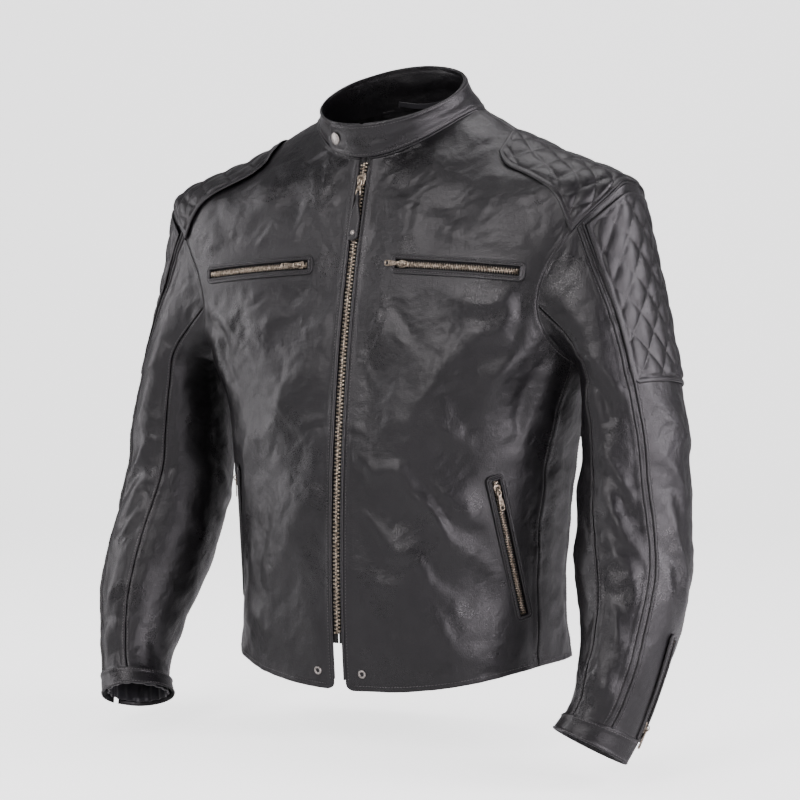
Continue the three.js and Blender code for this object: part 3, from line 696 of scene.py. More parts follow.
def leather(name, dark=(0.0026, 0.0024, 0.0028, 1), light=(0.0085, 0.0078, 0.0092, 1), grain=520.0):
    s = Shader(name)
    where = s.place()
    warp = s.node("ShaderNodeTexNoise", None, Scale=260.0, Detail=1.0, Vector=where)
    bent = s.node(
        "ShaderNodeVectorMath", {"operation": "MULTIPLY_ADD"}, warp.out("Color"), (0.0012,) * 3, where
    ).out(0)
    pebble = s.node(
        "ShaderNodeTexVoronoi", {"feature": "DISTANCE_TO_EDGE"}, Vector=bent, Scale=grain
    ).out(0).ramp(0.0, 0.2)
    fine = s.node(
        "ShaderNodeTexVoronoi", {"feature": "DISTANCE_TO_EDGE"}, Vector=bent, Scale=grain * 2.3
    ).out(0).ramp(0.0, 0.2)
    patch = s.noise(16.0, 3.0).ramp(0.3, 0.7)
    wrinkle = s.noise(120.0, 5.0, bent, 0.62)
    grains = pebble * (patch * 0.2 + 0.8) + fine * 0.4
    shape = s.bump(wrinkle, 0.0011, 0.55)
    shape = s.bump(grains, 0.00015, 0.45, shape)
    tone = s.noise(9.0, 4.0).ramp(0.25, 0.75)
    colour = s.blend(tone * 0.6 + pebble * 0.25, dark, light)
    rough = 0.26 + patch * 0.08 + (1 - pebble) * 0.12
    return s.done(Base_Color=colour, Roughness=rough, Normal=shape, Specular_IOR_Level=0.5)


def cloth(name, low, high, scale=900.0, rough=0.5, sheen=0.2, depth=0.0001):
    s = Shader(name)
    weave = s.node("ShaderNodeTexNoise", None, Scale=scale, Detail=2.0, Vector=s.place()).out(0)
    folds = s.noise(38.0, 3.0)
    shape = s.bump(weave, depth, 0.8, s.bump(folds, 0.004, 0.5))
    # The base colour follows the same noise as the fold bump: darker in the fold hollows, which is painted
    # shade, and lighter on the fold crests, which is a painted sheen.
    return s.done(
        Base_Color=s.blend(folds.ramp(0.3, 0.7), low, high), Roughness=rough + 0.1 * weave, Normal=shape,
        Sheen_Weight=sheen
    )


def metal(name, low, high, rough=0.3, depth=0.00006):
    s = Shader(name)
    wear = s.noise(420.0, 4.0).ramp(0.3, 0.72)
    fine = s.noise(2600.0, 2.0)
    return s.done(
        Base_Color=s.blend(wear, low, high),
        Roughness=rough + (1 - wear) * 0.16,
        Metallic=1.0,
        Normal=s.bump(fine, depth, 0.5),
    )


def make_materials():
    return {
        "leather": leather("leather"),
        "quilted": leather("quilted_leather", grain=560.0),
        "lining": cloth("lining", (0.010, 0.010, 0.012, 1), (0.026, 0.026, 0.030, 1), 1400.0, 0.34, 0.3),
        "tape": cloth("zip_tape", (0.006, 0.006, 0.006, 1), (0.014, 0.013, 0.013, 1), 1700.0, 0.7, 0.1),
        "thread": cloth("thread", (0.02, 0.018, 0.019, 1), (0.08, 0.074, 0.076, 1), 2400.0, 0.45, 0.3),
        "brass": metal("brass", (0.13, 0.105, 0.078, 1), (0.5, 0.43, 0.34, 1), 0.28),
        "nickel": metal("nickel", (0.24, 0.22, 0.20, 1), (0.55, 0.52, 0.49, 1), 0.32),
    }


MATERIAL = {}


def stuff(key):
    if not MATERIAL:
        MATERIAL.update(make_materials())
    return MATERIAL[key]


# --- panels --------------------------------------------------------------------------------------


def armhole_deg(level):
    k = (np.asarray(level, float) - ARM_MID) / ARM_REACH
    return ARMHOLE_DEG * np.sqrt(np.clip(1 - k * k, 0, None))


def panel_edge(level):
    """Angle from the front at which the front and back panels end."""
    level = np.asarray(level, float)
    side = np.full(level.shape, 90 - SIDE_SEAM - 0.1)
    hole = 90 - armhole_deg(level) - 0.25
    edge = np.where(level < ARM_MID, np.minimum(side, hole), hole)
    return np.where(level < ARMPIT, side, np.where(level > TIP, 89.9, edge))


def centre_deg(level, x=7.0, corner=12.0):
    """Angle at which the front panel starts: x from the middle, with a rounded corner at the hem."""
    level = np.asarray(level, float)
    rows = spline(RINGS, level.ravel())
    up = np.clip(level.ravel() * 77.0, 0, corner)
    inset = corner - np.sqrt(corner**2 - (corner - up) ** 2)
    share = np.clip((x + inset) / rows[:, 3], 0, 1)
    return np.degrees(np.arcsin(share ** (rows[:, 6] / 2))).reshape(level.shape)


def in_window(track, side, wide=6.4, past=2.0):
    def test(point):
        p = point * [side, 1, 1]
        a, b = track.ends
        along = (b - a) / np.linalg.norm(b - a)
        d, across = (p - a) @ along, (p - a) @ track.side
        return -past < d < track.length + past and abs(across) < wide and abs((p - a) @ track.out) < 30

    return test


def front_region(u, v):
    level = NECK * v
    start, end = centre_deg(np.full(1, level))[0], panel_edge(level)
    return start + (end - start) * u, level


def build_front(side):
    word = "left" if side > 0 else "right"
    windows = [in_window(CHEST, side), in_window(HAND, side)]
    obj = skin(
        f"front_panel_{word}_leather", stuff("leather"), body, front_region, 104, 262, 575, side,
        hole=lambda p: windows[0](p) or windows[1](p),
    )
    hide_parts(f"front_panel_{word}")
    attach(obj, "torso")


def build_back():
    def region(u, v):
        level = NECK * v
        edge = panel_edge(level)
        return 180 - edge + 2 * edge * u, level

    obj = skin("back_panel_leather", stuff("leather"), body, region, 170, 200, 640)
    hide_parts("back_panel")
    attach(obj, "torso")


def build_side(side):
    word = "left" if side > 0 else "right"

    def region(u, v):
        top = ARM_MID - ARM_REACH * math.sqrt(1 - (SIDE_SEAM / ARMHOLE_DEG) ** 2)
        deg = mix(90 - SIDE_SEAM + 0.1, 90 + SIDE_SEAM - 0.1, u)
        sag = ARM_MID - ARM_REACH * np.sqrt(np.clip(1 - ((deg - 90) / ARMHOLE_DEG) ** 2, 0, 1)) - 0.02
        return deg, v * np.minimum(sag, top)

    obj = skin(f"side_panel_{word}_leather", stuff("leather"), body, region, 34, 120, 330, side)
    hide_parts(f"side_panel_{word}")
    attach(obj, "torso")


# --- quilting ------------------------------------------------------------------------------------


class Quilt:
    """A quilted piece: its surface, region, and diamond width and height."""

    def __init__(self, at, region, wide, tall, rim):
        self.at, self.region = at, region
        self.wide, self.tall, self.rim = wide, tall, rim
        self.v = np.linspace(0, 1, 60)
        self.u = np.linspace(0, 1, 160)
        self.rows = []
        for v in self.v:
            p, q = pair(*region(self.u, v))
            run = np.concatenate([[0], np.cumsum(np.linalg.norm(np.diff(at(p, q), axis=0), axis=1))])
            self.rows.append((p, q, run))
        middle = at(*pair(*(np.array(c) for c in zip(*(region(0.5, v) for v in self.v)))))
        self.run = np.concatenate([[0], np.cumsum(np.linalg.norm(np.diff(middle, axis=0), axis=1))])
        self.length = self.run[-1]

    def pillow(self, s, t, edge):
        a, b = s / self.wide + t / self.tall, s / self.wide - t / self.tall
        plump = (np.abs(np.sin(math.pi * a)) * np.abs(np.sin(math.pi * b))) ** 0.42
        inside = smooth(self.rim - 0.8, self.rim + 1.6, edge)
        groove = np.exp(-(((edge - self.rim) / 1.3) ** 2))
        return inside * (3.0 * plump - 0.5) + 0.9 * (1 - inside) - 1.0 * groove

    def spot(self, s, t):
        """Surface coordinates at s mm from the middle of a row and t mm along."""
        v = np.interp(t, self.run, self.v) * (len(self.v) - 1)
        out_p, out_q = np.zeros(len(v)), np.zeros(len(v))
        for k, (x, dist) in enumerate(zip(v, s)):
            i = min(int(x), len(self.v) - 2)
            f = x - i
            near = [
                [np.interp(dist + run[-1] / 2, run, c) for c in (p, q)] for p, q,
                run in (self.rows[i], self.rows[i + 1])
            ]
            out_p[k] = mix(near[0][0], near[1][0], f)
            out_q[k] = mix(near[0][1], near[1][1], f)
        return out_p, out_q

    def half(self, t):
        v = np.interp(t, self.run, self.v) * (len(self.v) - 1)
        totals = np.array([run[-1] for _, _, run in self.rows])
        return np.interp(v, np.arange(len(totals)), totals) / 2

    def lines(self):
        """The quilting lines as arrays of s and t, clipped to inside the rim."""
        out = []
        span = int(400 / min(self.wide, self.tall))
        t = np.arange(self.rim, self.length - self.rim, 0.9)
        for way in (1, -1):
            for k in range(-span, span + 1):
                s = (k - way * t / self.tall) * self.wide
                keep = np.abs(s) < self.half(t) - self.rim
                for run in np.split(np.arange(len(t)), np.where(np.diff(keep.astype(int)) != 0)[0] + 1):
                    if len(run) > 6 and keep[run[0]]:
                        out.append((s[run], t[run]))
        return out

    def border(self, inset):
        """A line at inset from every edge."""
        t = np.linspace(inset, self.length - inset, 120)
        up = np.linspace(0, 1, 60)
        left = (-(self.half(t) - inset), t)
        top = (mix(-1, 1, up) * (self.half(t[-1:])[0] - inset), np.full(60, t[-1]))
        right = (left[0][::-1] * -1, t[::-1])
        bottom = (mix(1, -1, up) * (self.half(t[:1])[0] - inset), np.full(60, t[0]))
        return np.concatenate(
            [left[0], top[0], right[0], bottom[0]]
        ), np.concatenate([left[1], top[1], right[1], bottom[1]])


def pad_region(u, v):
    q = 2 * np.asarray(u, float) - 1
    q = q * (1 - 0.16 * np.clip(1 - v / 0.16, 0, 1) ** 2.2)
    inner = (90 + 41 * q, TIP + 1.42 - 0.42 * q * q)
    outer = (90 + 40.3 * np.sin(np.radians(64 * q)), ARM_MID + 2.02 * np.cos(np.radians(64 * q)))
    bow = np.sin(math.pi * v) * np.abs(q) ** 3
    return mix(inner[0], outer[0], v) + 4.5 * bow * np.sign(q), mix(inner[1], outer[1], v) - 0.08 * bow


def patch_region(u, v):
    station = mix(0.1, 2.15, v)
    middle, half = (PIPED - 55) / 2, (PIPED + 45) / 2
    half = half * (1 - 0.14 * np.clip((v - 0.92) / 0.08, 0, 1) ** 2.4)
    return mix(middle - half, middle + half, u) + 0 * station, station + 0 * np.asarray(u)


PAD = Quilt(body, lambda u, v: pad_region(1 - u, v), 36, 34, 6.0)
PATCH = Quilt(sleeve, patch_region, 32, 42, 6.5)
PAD_BASE = 1.9


def build_quilt(name, quilt, side, nu, nv, node):
    marks = row_marks(nv, quilt.length)
    p, q, across, cols, rows = even(quilt.at, quilt.region, nu, marks, EDGE)
    points, out = quilt.at(p, q), normals(quilt.at, p, q)
    v = np.repeat(np.interp(marks, quilt.v, quilt.run), cols)
    edge = np.minimum(across, np.minimum(v, quilt.length - v))
    left = np.zeros((rows, cols))
    grid = points.reshape(rows, cols, 3)
    left[:, 1:] = np.cumsum(np.linalg.norm(np.diff(grid, axis=1), axis=2), axis=1)
    s = (left - left[:, -1:] / 2).ravel()
    if side < 0:
        points, out = points * [-1, 1, 1], out * [-1, 1, 1]
    height = PAD_BASE + 0.35 * relief(points) + quilt.pillow(s, v, edge) + rolled(edge, 1.6, 0.3)
    bm = bmesh.new()
    grid_into(bm, points + out * height[:, None], cols, rows, out)
    obj = finish_mesh(name, bm, stuff("quilted"))
    wall = obj.modifiers.new("Wall", "SOLIDIFY")
    wall.thickness, wall.offset = 2.2 * MM, -1
    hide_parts(node)
    return obj


def quilt_threads(bm, quilt, side):
    for s, t in quilt.lines():
        thread_into(bm, *on_skin(quilt.at, *quilt.spot(s, t), side, PAD_BASE - 0.35, 0.35), 3.6, 0.26, 0.15)
    for inset, lift in ((2.4, 0.75), (quilt.rim, -0.2)):
        s, t = quilt.border(inset)
        thread_into(bm, *on_skin(quilt.at, *quilt.spot(s, t), side, PAD_BASE + lift, 0.35), 3.4, 0.28, 0.15)


# --- sleeves -------------------------------------------------------------------------------------


def bend_sleeve(obj):
    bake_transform(obj)


def sleeve_region(low, high, first, last):
    def region(u, v):
        station = mix(first, last, v)
        return mix(low, high, np.asarray(u, float)), station + 0 * np.asarray(u, float)

    return region


def build_sleeve(side):
    word = "left" if side > 0 else "right"
    pieces = [
        ("outer", BACKSEAM - 360 + 0.3, PIPED - 0.3, 92, 560, in_window(WRIST, side)),
        ("front", PIPED + 0.3, INNER - 0.3, 30, 520, None),
        ("inner", INNER + 0.3, BACKSEAM - 0.3, 74, 440, None),
    ]
    for part, low, high, nu, length, hole in pieces:
        obj = skin(
            f"sleeve_{part}_{word}_leather", stuff("leather"), sleeve,
            sleeve_region(low, high, 0.0, CUFF_START + 0.06),
            nu, 250, length, side, hole=hole,
        )
        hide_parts(f"sleeve_{part}_{word}")
        bend_sleeve(obj)
    pad = build_quilt(f"sleeve_patch_{word}_quilted", PATCH, side, 82, 92, f"sleeve_patch_{word}")
    bend_sleeve(pad)


def cuff_region(u, v):
    return mix(-14, 338, np.asarray(u, float)), mix(CUFF_START, RIM, v) + 0 * np.asarray(u, float)


def build_cuff(side):
    word = "left" if side > 0 else "right"

    def lift(p, q, edge, points):
        return 0.9 * smooth(330, 300, p) + 1.0

    obj = skin(
        f"cuff_{word}_leather", stuff("leather"), sleeve, cuff_region, 110, 22, 32, side, lift, thick=2.6,
        folds=0.35
    )
    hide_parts(f"cuff_{word}")
    bend_sleeve(obj)
    inner = skin(
        f"sleeve_lining_{word}_satin", stuff("lining"), sleeve, sleeve_region(0, 360, 0.5, RIM - 0.1), 110,
        150, 560, side,
        lambda p, q, edge, points: -5.0 + 1.2 * np.sin(np.radians(p * 17)) * smooth(6.6, 7.6, q), thick=0.5,
        folds=1.0,
    )
    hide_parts(f"sleeve_lining_{word}")
    bend_sleeve(inner)


# --- collar --------------------------------------------------------------------------------------


def build_collar():
    crease = lambda p, q, edge, points: 1.1 * np.sin(
        q * 7 + 0.5 * np.sin(p / 9)
    ) * np.exp(-(((q - 0.5) / 0.28) ** 2))
    stand = skin(
        "collar_stand_leather", stuff("leather"), collar,
        lambda u, v: (mix(2, 358.8, np.asarray(u, float)), mix(-0.1, 1, v) + 0 * np.asarray(u, float)),
        230, 32, 44, lift=crease, thick=2.4, folds=0.25, ends=(False, True),
    )
    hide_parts("collar_stand")
    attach(stand, "torso")

    def tab_region(u, v):
        reach = 31 - 4.5 * abs(2 * v - 1) ** 2.6
        return mix(-reach, 178, np.asarray(u, float)), mix(0.04, 0.985, v) + 0 * np.asarray(u, float)

    def tab_lift(p, q, edge, points):
        return crease(p, q, edge, points) + 1.75 + 2.6 * (1 - smooth(2, 30, p))

    tab = skin(
        "collar_tab_leather", stuff("leather"), collar, tab_region, 150, 34, 38, lift=tab_lift, thick=1.7,
        folds=0.25,
    )
    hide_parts("collar_tab")
    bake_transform(tab)


def collar_spot(deg, share, lift):
    deg, share = pair(deg, share)
    points, out = collar(deg, share), normals(collar, deg, share)
    return points + out * (0.25 * relief(points) + lift)[:, None], out


# --- seams ---------------------------------------------------------------------------------------


def offset_deg(deg, station, mm):
    """Sleeve angles moved round by mm."""
    step = np.linalg.norm(sleeve(deg + 0.5, station) - sleeve(deg - 0.5, station), axis=1)
    return deg + mm / step


def body_offset(deg, level, mm):
    step = np.linalg.norm(body(deg + 0.5, level) - body(deg - 0.5, level), axis=1)
    return deg + mm / step


def build_body_seams(pitch):
    bm, cord = bmesh.new(), bmesh.new()
    for side in (1, -1):
        z = np.linspace(-46, -588, 300)
        thread_into(bm, *on_skin(body, *front_angle(np.full(300, 11.2), z), side, 0.25), pitch)
        points, out = on_skin(body, *front_angle(np.full(300, 6.9), z), side, 0.5)
        tube_into(cord, points, out, 1.65, 10)
        level = np.linspace(0.02, 5.3, 260)
        for seam, ways in ((90 - SIDE_SEAM, (-1, 1)), (90 + SIDE_SEAM, (-1, 1))):
            for way in ways:
                thread_into(
                    bm, *on_skin(body, body_offset(np.full(260, seam), level, 2.6 * way), level, side, 0.5),
                    pitch
                )
        deg = np.linspace(4, 177, 500)
        thread_into(bm, *on_skin(body, deg, np.full(500, 0.12), side, 0.15), pitch)
        turn = np.linspace(-120, 120, 420)
        ring_deg = 90 - (ARMHOLE_DEG + 1.3) * np.sin(np.radians(turn + 180))
        ring_level = ARM_MID + (ARM_REACH + 0.07) * np.cos(np.radians(turn + 180))
        thread_into(bm, *on_skin(body, ring_deg, ring_level, side, 0.5), pitch)
        seam = np.linspace(0, 360, 500)
        points, out = on_skin(
            body, 90 - ARMHOLE_DEG * np.sin(np.radians(seam)), ARM_MID + ARM_REACH * np.cos(np.radians(seam)),
            side, 0.1
        )
        tube_into(cord, points, out, 1.3, 8)
    for deg0, deg1, share, lift in (
        (-25, 177, 0.13, 4.6), (-25, 177, 0.9, 4.6), (182, 326, 0.13, 0.75), (182, 356, 0.9, 0.75)
    ):
        deg = np.linspace(deg0, deg1, 500)
        rise = lift if lift < 1 else 2.35 + 2.6 * (1 - smooth(2, 30, deg))
        thread_into(bm, *collar_spot(deg, np.full(500, share), rise), pitch)
    share = np.linspace(0.15, 0.88, 60)
    thread_into(bm, *collar_spot(np.full(60, -27.2), share, 4.8), pitch)
    deg = np.linspace(3, 357, 700)
    points, out = collar_spot(deg, np.full(700, 0.0), 0.9)
    tube_into(cord, points, out, 1.5, 8)
    threads = closed_mesh("body_stitches", bm, stuff("thread"))
    pipes = closed_mesh("body_piping", cord, stuff("leather"))
    for obj in (threads, pipes):
        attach(obj, "torso")


def build_quilt_seams():
    for side in (1, -1):
        word = "left" if side > 0 else "right"
        bm = bmesh.new()
        quilt_threads(bm, PAD, side)
        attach(closed_mesh(f"shoulder_stitches_{word}", bm, stuff("thread")), "torso")
        bm = bmesh.new()
        quilt_threads(bm, PATCH, side)
        bend_sleeve(closed_mesh(f"patch_stitches_{word}", bm, stuff("thread")))


def build_sleeve_seams(pitch):
    for side in (1, -1):
        word = "left" if side > 0 else "right"
        bm, cord = bmesh.new(), bmesh.new()
        station = np.linspace(0.04, CUFF_START, 620)
        for seam, offsets in ((PIPED, (2.9, -3.4, -9.6)), (INNER, (-2.6, 2.6)), (BACKSEAM, (-2.6, 2.6))):
            for mm in offsets:
                deg = offset_deg(np.full(620, float(seam)), station, mm)
                thread_into(bm, *on_skin(sleeve, deg, station, side, 0.5 if abs(mm) < 9 else 0.1), pitch)
        for mm, lift in ((0.0, 0.5), (-6.6, 0.75)):
            deg = offset_deg(np.full(620, float(PIPED)), station, mm)
            points, out = on_skin(sleeve, deg, station, side, lift)
            tube_into(cord, points, out, 1.5, 10)
        for share, lift in ((0.1, 1.5), (0.87, 1.5)):
            deg = np.linspace(-12, 334, 500)
            at = np.full(500, mix(CUFF_START, RIM, share))
            rise = 0.9 * smooth(330, 300, deg) + lift
            points, out = sleeve(deg, at), normals(sleeve, deg, at)
            if side < 0:
                points, out = points * [-1, 1, 1], out * [-1, 1, 1]
            thread_into(bm, points + out * (0.35 * relief(points) + rise)[:, None], out, pitch)
        bend_sleeve(closed_mesh(f"sleeve_stitches_{word}", bm, stuff("thread")))
        bend_sleeve(closed_mesh(f"sleeve_piping_{word}", cord, stuff("leather")))


# --- zips ----------------------------------------------------------------------------------------


def flip(vectors, side):
    return np.asarray(vectors) * [side, 1, 1]


def teeth_into(bm, track, side, rows, pitch, half, start=3.0, end=3.0, rise=-0.6):
    """Both or one of the rows of teeth: rows lists 1 or -1 for the side of the track."""
    for row in rows:
        d = start + (0 if row > 0 else pitch / 2)
        while d < track.length - end:
            across, along, out = track.axes(np.array(d))
            place = track.at(np.array(d), row * (half - 1.1) / 2, rise)
            axes = [flip(a, side) for a in (across, along, out)]
            block_into(bm, flip(place, side), axes, (half + 1.1, pitch * 0.46, 2.5), 0)
            d += pitch
    edges = list(bm.edges)
    bmesh.ops.bevel(bm, geom=edges, offset=0.28 * MM, affect="EDGES", segments=1, profile=0.5, material=-1)


def tape(name, track, side, low, high, rise, past=4.0):
    d = np.linspace(-past, track.length + past, 90)
    across = np.linspace(low, high, 5)
    grid_d, grid_a = np.meshgrid(d, across, indexing="ij")
    points = flip(track.at(grid_d.ravel(), grid_a.ravel(), rise), side)
    out = flip(track.axes(grid_d.ravel())[2], side)
    bm = bmesh.new()
    grid_into(bm, points, 5, 90, out)
    obj = finish_mesh(name, bm, stuff("tape"))
    wall = obj.modifiers.new("Wall", "SOLIDIFY")
    wall.thickness, wall.offset = 0.7 * MM, -1
    return obj


def slider_mesh(name, track, side, distance, k):
    bm = bmesh.new()
    half = 6.0 * k
    across, along, out = (flip(a, side) for a in track.axes(np.array(distance)))
    place = lambda d, e: flip(track.at(np.array(distance + d), 0.0, e), side)
    s = np.linspace(-1, 1, 15)
    width = 4.2 * k * (0.62 + 0.38 * smooth(0.9, -0.5, s)) * np.sqrt(np.clip(1 - np.abs(s) ** 7, 0, 1))
    for low, high in ((0.8, 2.0), (-6.1, -5.0)):
        centre = np.array([place(x * half, (low + high) / 2) for x in s])
        sweep_into(bm, centre, across, out, np.maximum(width, 0.5), (high - low) / 2, 6, 24)
    block_into(bm, place(-half * 0.5, -2.1), (across, along, out), (1.0, half * 0.5, 6.2), 0.2)
    for way in (-1, 1):
        t = np.linspace(-1, 1, 11)
        edge = np.array(
            [place(x * half * 0.8, 0.4) + across * way * (np.interp(x, s, width) - 0.45) for x in t]
        )
        sweep_into(bm, edge, across, out, 0.45, 0.9, 4, 10)
    angle = np.linspace(0, math.pi, 17)
    arch = np.array([place(3.4 * math.cos(a), 1.6 + 4.4 * math.sin(a) ** 0.7) for a in angle])
    tangent = np.gradient(arch, axis=0)
    up = np.cross(across, tangent / np.linalg.norm(tangent, axis=1)[:, None])
    sweep_into(bm, arch, across, up, 1.05, 0.5, 4, 12)
    return closed_mesh(name, bm, stuff("brass"))


def puller_mesh(name, track, side, distance, length, eye, way):
    """Flat metal pull: a frame round the bail and an eye at the end, joined by a plate."""
    bm = bmesh.new()
    across, _, out = (flip(a, side) for a in track.axes(np.array(distance)))
    place = lambda d, b: flip(track.at(np.array(distance + way * d), b, 3.9), side)
    half = 3.2
    for low, high, wide in ((-0.8, 6.2, half * 0.86), (length - eye - 3.6, length, half)):
        angle = np.linspace(0, 2 * math.pi, 49)
        c, s = np.cos(angle), np.sin(angle)
        middle, reach = (low + high) / 2, (high - low) / 2
        power = 2 / 3.6
        x = (reach - 0.75) * np.sign(c) * np.abs(c) ** power
        y = (wide - 0.75) * np.sign(s) * np.abs(s) ** power
        path = np.array([place(middle + a, b) for a, b in zip(x, y)])
        tangent = np.gradient(path, axis=0)
        tangent[0] = tangent[-1] = path[1] - path[-2]
        ways = np.cross(tangent / np.linalg.norm(tangent, axis=1)[:, None], out)
        sweep_into(bm, path, ways, out, 0.78, 0.6, 5, 12)
    s = np.linspace(5.2, length - eye - 2.2, 12)
    path = np.array([place(x, 0.0) for x in s])
    if len(s):
        width = 1.75 + 1.35 * smooth(5, length - eye - 3, s)
        sweep_into(bm, path, across, out, width, 0.6, 6, 20)
    return closed_mesh(name, bm, stuff("brass"))


def welt_mesh(name, track, side):
    half_l, half_w, radius = track.length / 2 + 3.6, 7.6, 3.3
    profile = [
        (-2.9, -3.0), (-2.9, 0.2), (-2.75, 1.3), (-2.35, 1.95), (-1.7, 2.2), (-1.0, 1.95), (-0.5, 1.35),
        (0.0, 0.95),
        (0.5, 0.95), (1.2, 1.3), (2.0, 1.35), (2.6, 1.2), (2.95, 0.75), (3.05, 0.1), (3.05, -0.8),
    ]
    corner = np.linspace(0, math.pi / 2, 9)
    path, facing = [], []
    straight = np.linspace(-1, 1, int(track.length / 1.6))
    for quarter in range(4):
        turn = quarter * math.pi / 2
        cx = (half_l - radius) * (1 if quarter in (0, 3) else -1)
        cy = (half_w - radius) * (1 if quarter in (0, 1) else -1)
        for a in corner:
            facing.append((math.cos(turn + a), math.sin(turn + a)))
            path.append((cx + radius * math.cos(turn + a), cy + radius * math.sin(turn + a)))
        if quarter in (0, 2):
            sign = 1 if quarter == 0 else -1
            for x in -straight[1:-1] * sign:
                facing.append((0, sign))
                path.append((x * (half_l - radius), cy + radius * sign))
    path.append(path[0])
    facing.append(facing[0])
    path, facing = np.array(path), np.array(facing)
    offset, height = np.array(profile).T
    d = track.length / 2 + path[:, :1] + facing[:, :1] * offset
    across = path[:, 1:] + facing[:, 1:] * offset
    wobble = 0.14 * np.sin(d / 3.4 * 2 * math.pi) * np.exp(-(((offset - 0.25) / 0.9) ** 2))
    points = flip(track.at(d.ravel(), across.ravel(), (height + 0.45 + wobble).ravel()), side)
    out = flip(track.axes(d.ravel())[2], side)
    points = points + out * relief(points)[:, None]
    bm = bmesh.new()
    made = grid_into(bm, points, len(profile), len(path), out)
    bmesh.ops.remove_doubles(bm, verts=made, dist=1e-7)
    obj = finish_mesh(name, bm, stuff("leather"))
    middle = 7
    line = flip(track.at(d[:, middle], across[:, middle], 1.5), side)
    way = flip(track.axes(d[:, middle])[2], side)
    return obj, line + way * relief(line)[:, None], way


def build_front_zip():
    for row, word in ((1, "left"), (-1, "right")):
        bm = bmesh.new()
        teeth_into(bm, FRONT, 1, (row,), 4.0, 3.9, 2.0, 2.0, -0.5)
        teeth = closed_mesh(f"front_zip_{word}_teeth", bm, stuff("brass"))
        band = tape(f"front_zip_{word}_tape", FRONT, 1, row * 0.7, row * 10, -1.8, 8)
        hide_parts(f"front_zip_{word}")
        for obj in (teeth, band):
            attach(obj, "torso")
    slider = slider_mesh("front_zip_slider_metal", FRONT, 1, 22, 1.25)
    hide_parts("front_zip_slider")
    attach(slider, "front_slider")
    pull = puller_mesh("front_zip_puller_metal", FRONT, 1, 22, 17, 3.4, 1)
    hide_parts("front_zip_puller")
    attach(pull, "front_puller")
    build_strap(22 + 17)


def build_strap(eye):
    bm, threads, rivet = bmesh.new(), bmesh.new(), bmesh.new()
    across, along, out = FRONT.axes(np.array(float(eye + 22)))
    place = lambda d, b, e: FRONT.at(d, b, e)
    angle = np.linspace(math.radians(75), math.radians(285), 15)
    loop_d = eye - 0.9 + 1.75 * np.cos(angle)
    loop_e = 3.9 + 1.65 * np.sin(angle)
    d = np.concatenate([[eye + 6.0], loop_d, [eye + 6.0]])
    e = np.concatenate([[3.9 + 1.35], loop_e, [3.9 - 1.35]])
    path = place(d, 0.0, e)
    tangent = np.gradient(path, axis=0)
    up = np.cross(across, tangent / np.linalg.norm(tangent, axis=1)[:, None])
    sweep_into(bm, path, across, up, 1.55, 0.5, 5, 16)
    s = np.linspace(0, 1, 60)
    d = eye + 2.6 + s * 47.2
    grow = mix(1.9, 6.2, smooth(0.02, 0.55, s)) * (1 - 0.12 * np.exp(-(((s - 0.14) / 0.08) ** 2)))
    width = grow * np.sqrt(np.clip(1 - np.clip((s - 0.87) / 0.13, 0, 1) ** 2.4, 0, 1))
    crown = 3.9 + 0.25 * np.sin(s * 9)
    sweep_into(
        bm, place(d, 0.0, crown), across, out, np.maximum(width, 0.4), 1.55 - 0.25 * smooth(0.9, 1, s), 4.5,
        28
    )
    strap = closed_mesh("front_zip_strap_leather", bm, stuff("leather"))
    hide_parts("front_zip_strap")
    inner = np.maximum(width - 1.1, 0.2)
    keep = slice(8, 57)
    for way in (-1, 1):
        line = place(d[keep], way * inner[keep], crown[keep] + 1.5)
        thread_into(threads, line, np.broadcast_to(out, line.shape), 2.6, 0.22, 0.0)
    stitches = closed_mesh("strap_stitches", threads, stuff("thread"))
    point = place(float(eye + 41), 0.0, 3.9)
    lathe_into(rivet, [
        (0, -2.3), (2.4, -2.3), (2.4, -1.6), (1.2, -1.5), (1.2, 1.4), (2.6, 1.45), (2.55, 1.85), (1.9, 2.35),
        (0.9, 2.55), (0, 2.6)
    ], point, out)
    cap = closed_mesh("strap_rivet_metal", rivet, stuff("nickel"))
    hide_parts("strap_rivet")
    for obj in (strap, stitches, cap):
        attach(obj, "front_strap")


def build_pocket_zip(kind, track, side):
    word = "left" if side > 0 else "right"
    home = f"sleeve_{word}" if kind == "cuff" else "torso"
    bm = bmesh.new()
    teeth_into(bm, track, side, (1, -1), 2.7, 3.1, 2.4, 2.0, -0.6)
    for d in (1.2, track.length - 1.2):
        axes = [flip(a, side) for a in track.axes(np.array(d))]
        block_into(bm, flip(track.at(np.array(d), 0.0, -0.4), side), axes, (5.0, 1.5, 2.6), 0.3)
    teeth = closed_mesh(f"{kind}_zip_{word}_teeth", bm, stuff("brass"))
    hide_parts(f"{kind}_zip_{word}")
    band = tape(f"{kind}_zip_{word}_tape", track, side, -8.5, 8.5, -2.0, 3.5)
    slider = slider_mesh(f"{kind}_slider_{word}_metal", track, side, 9.6, 1.0)
    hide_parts(f"{kind}_slider_{word}")
    way = -1 if kind == "cuff" or (kind == "chest" and side > 0) else 1
    pull = puller_mesh(f"{kind}_puller_{word}_metal", track, side, 9.6, 22, 2.6, way)
    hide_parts(f"{kind}_puller_{word}")
    if kind == "cuff":
        for obj in (teeth, band):
            bend_sleeve(obj)
    else:
        for obj in (teeth, band):
            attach(obj, home)
    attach(slider, f"{kind}_slider_{word}")
    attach(pull, f"{kind}_puller_{word}")


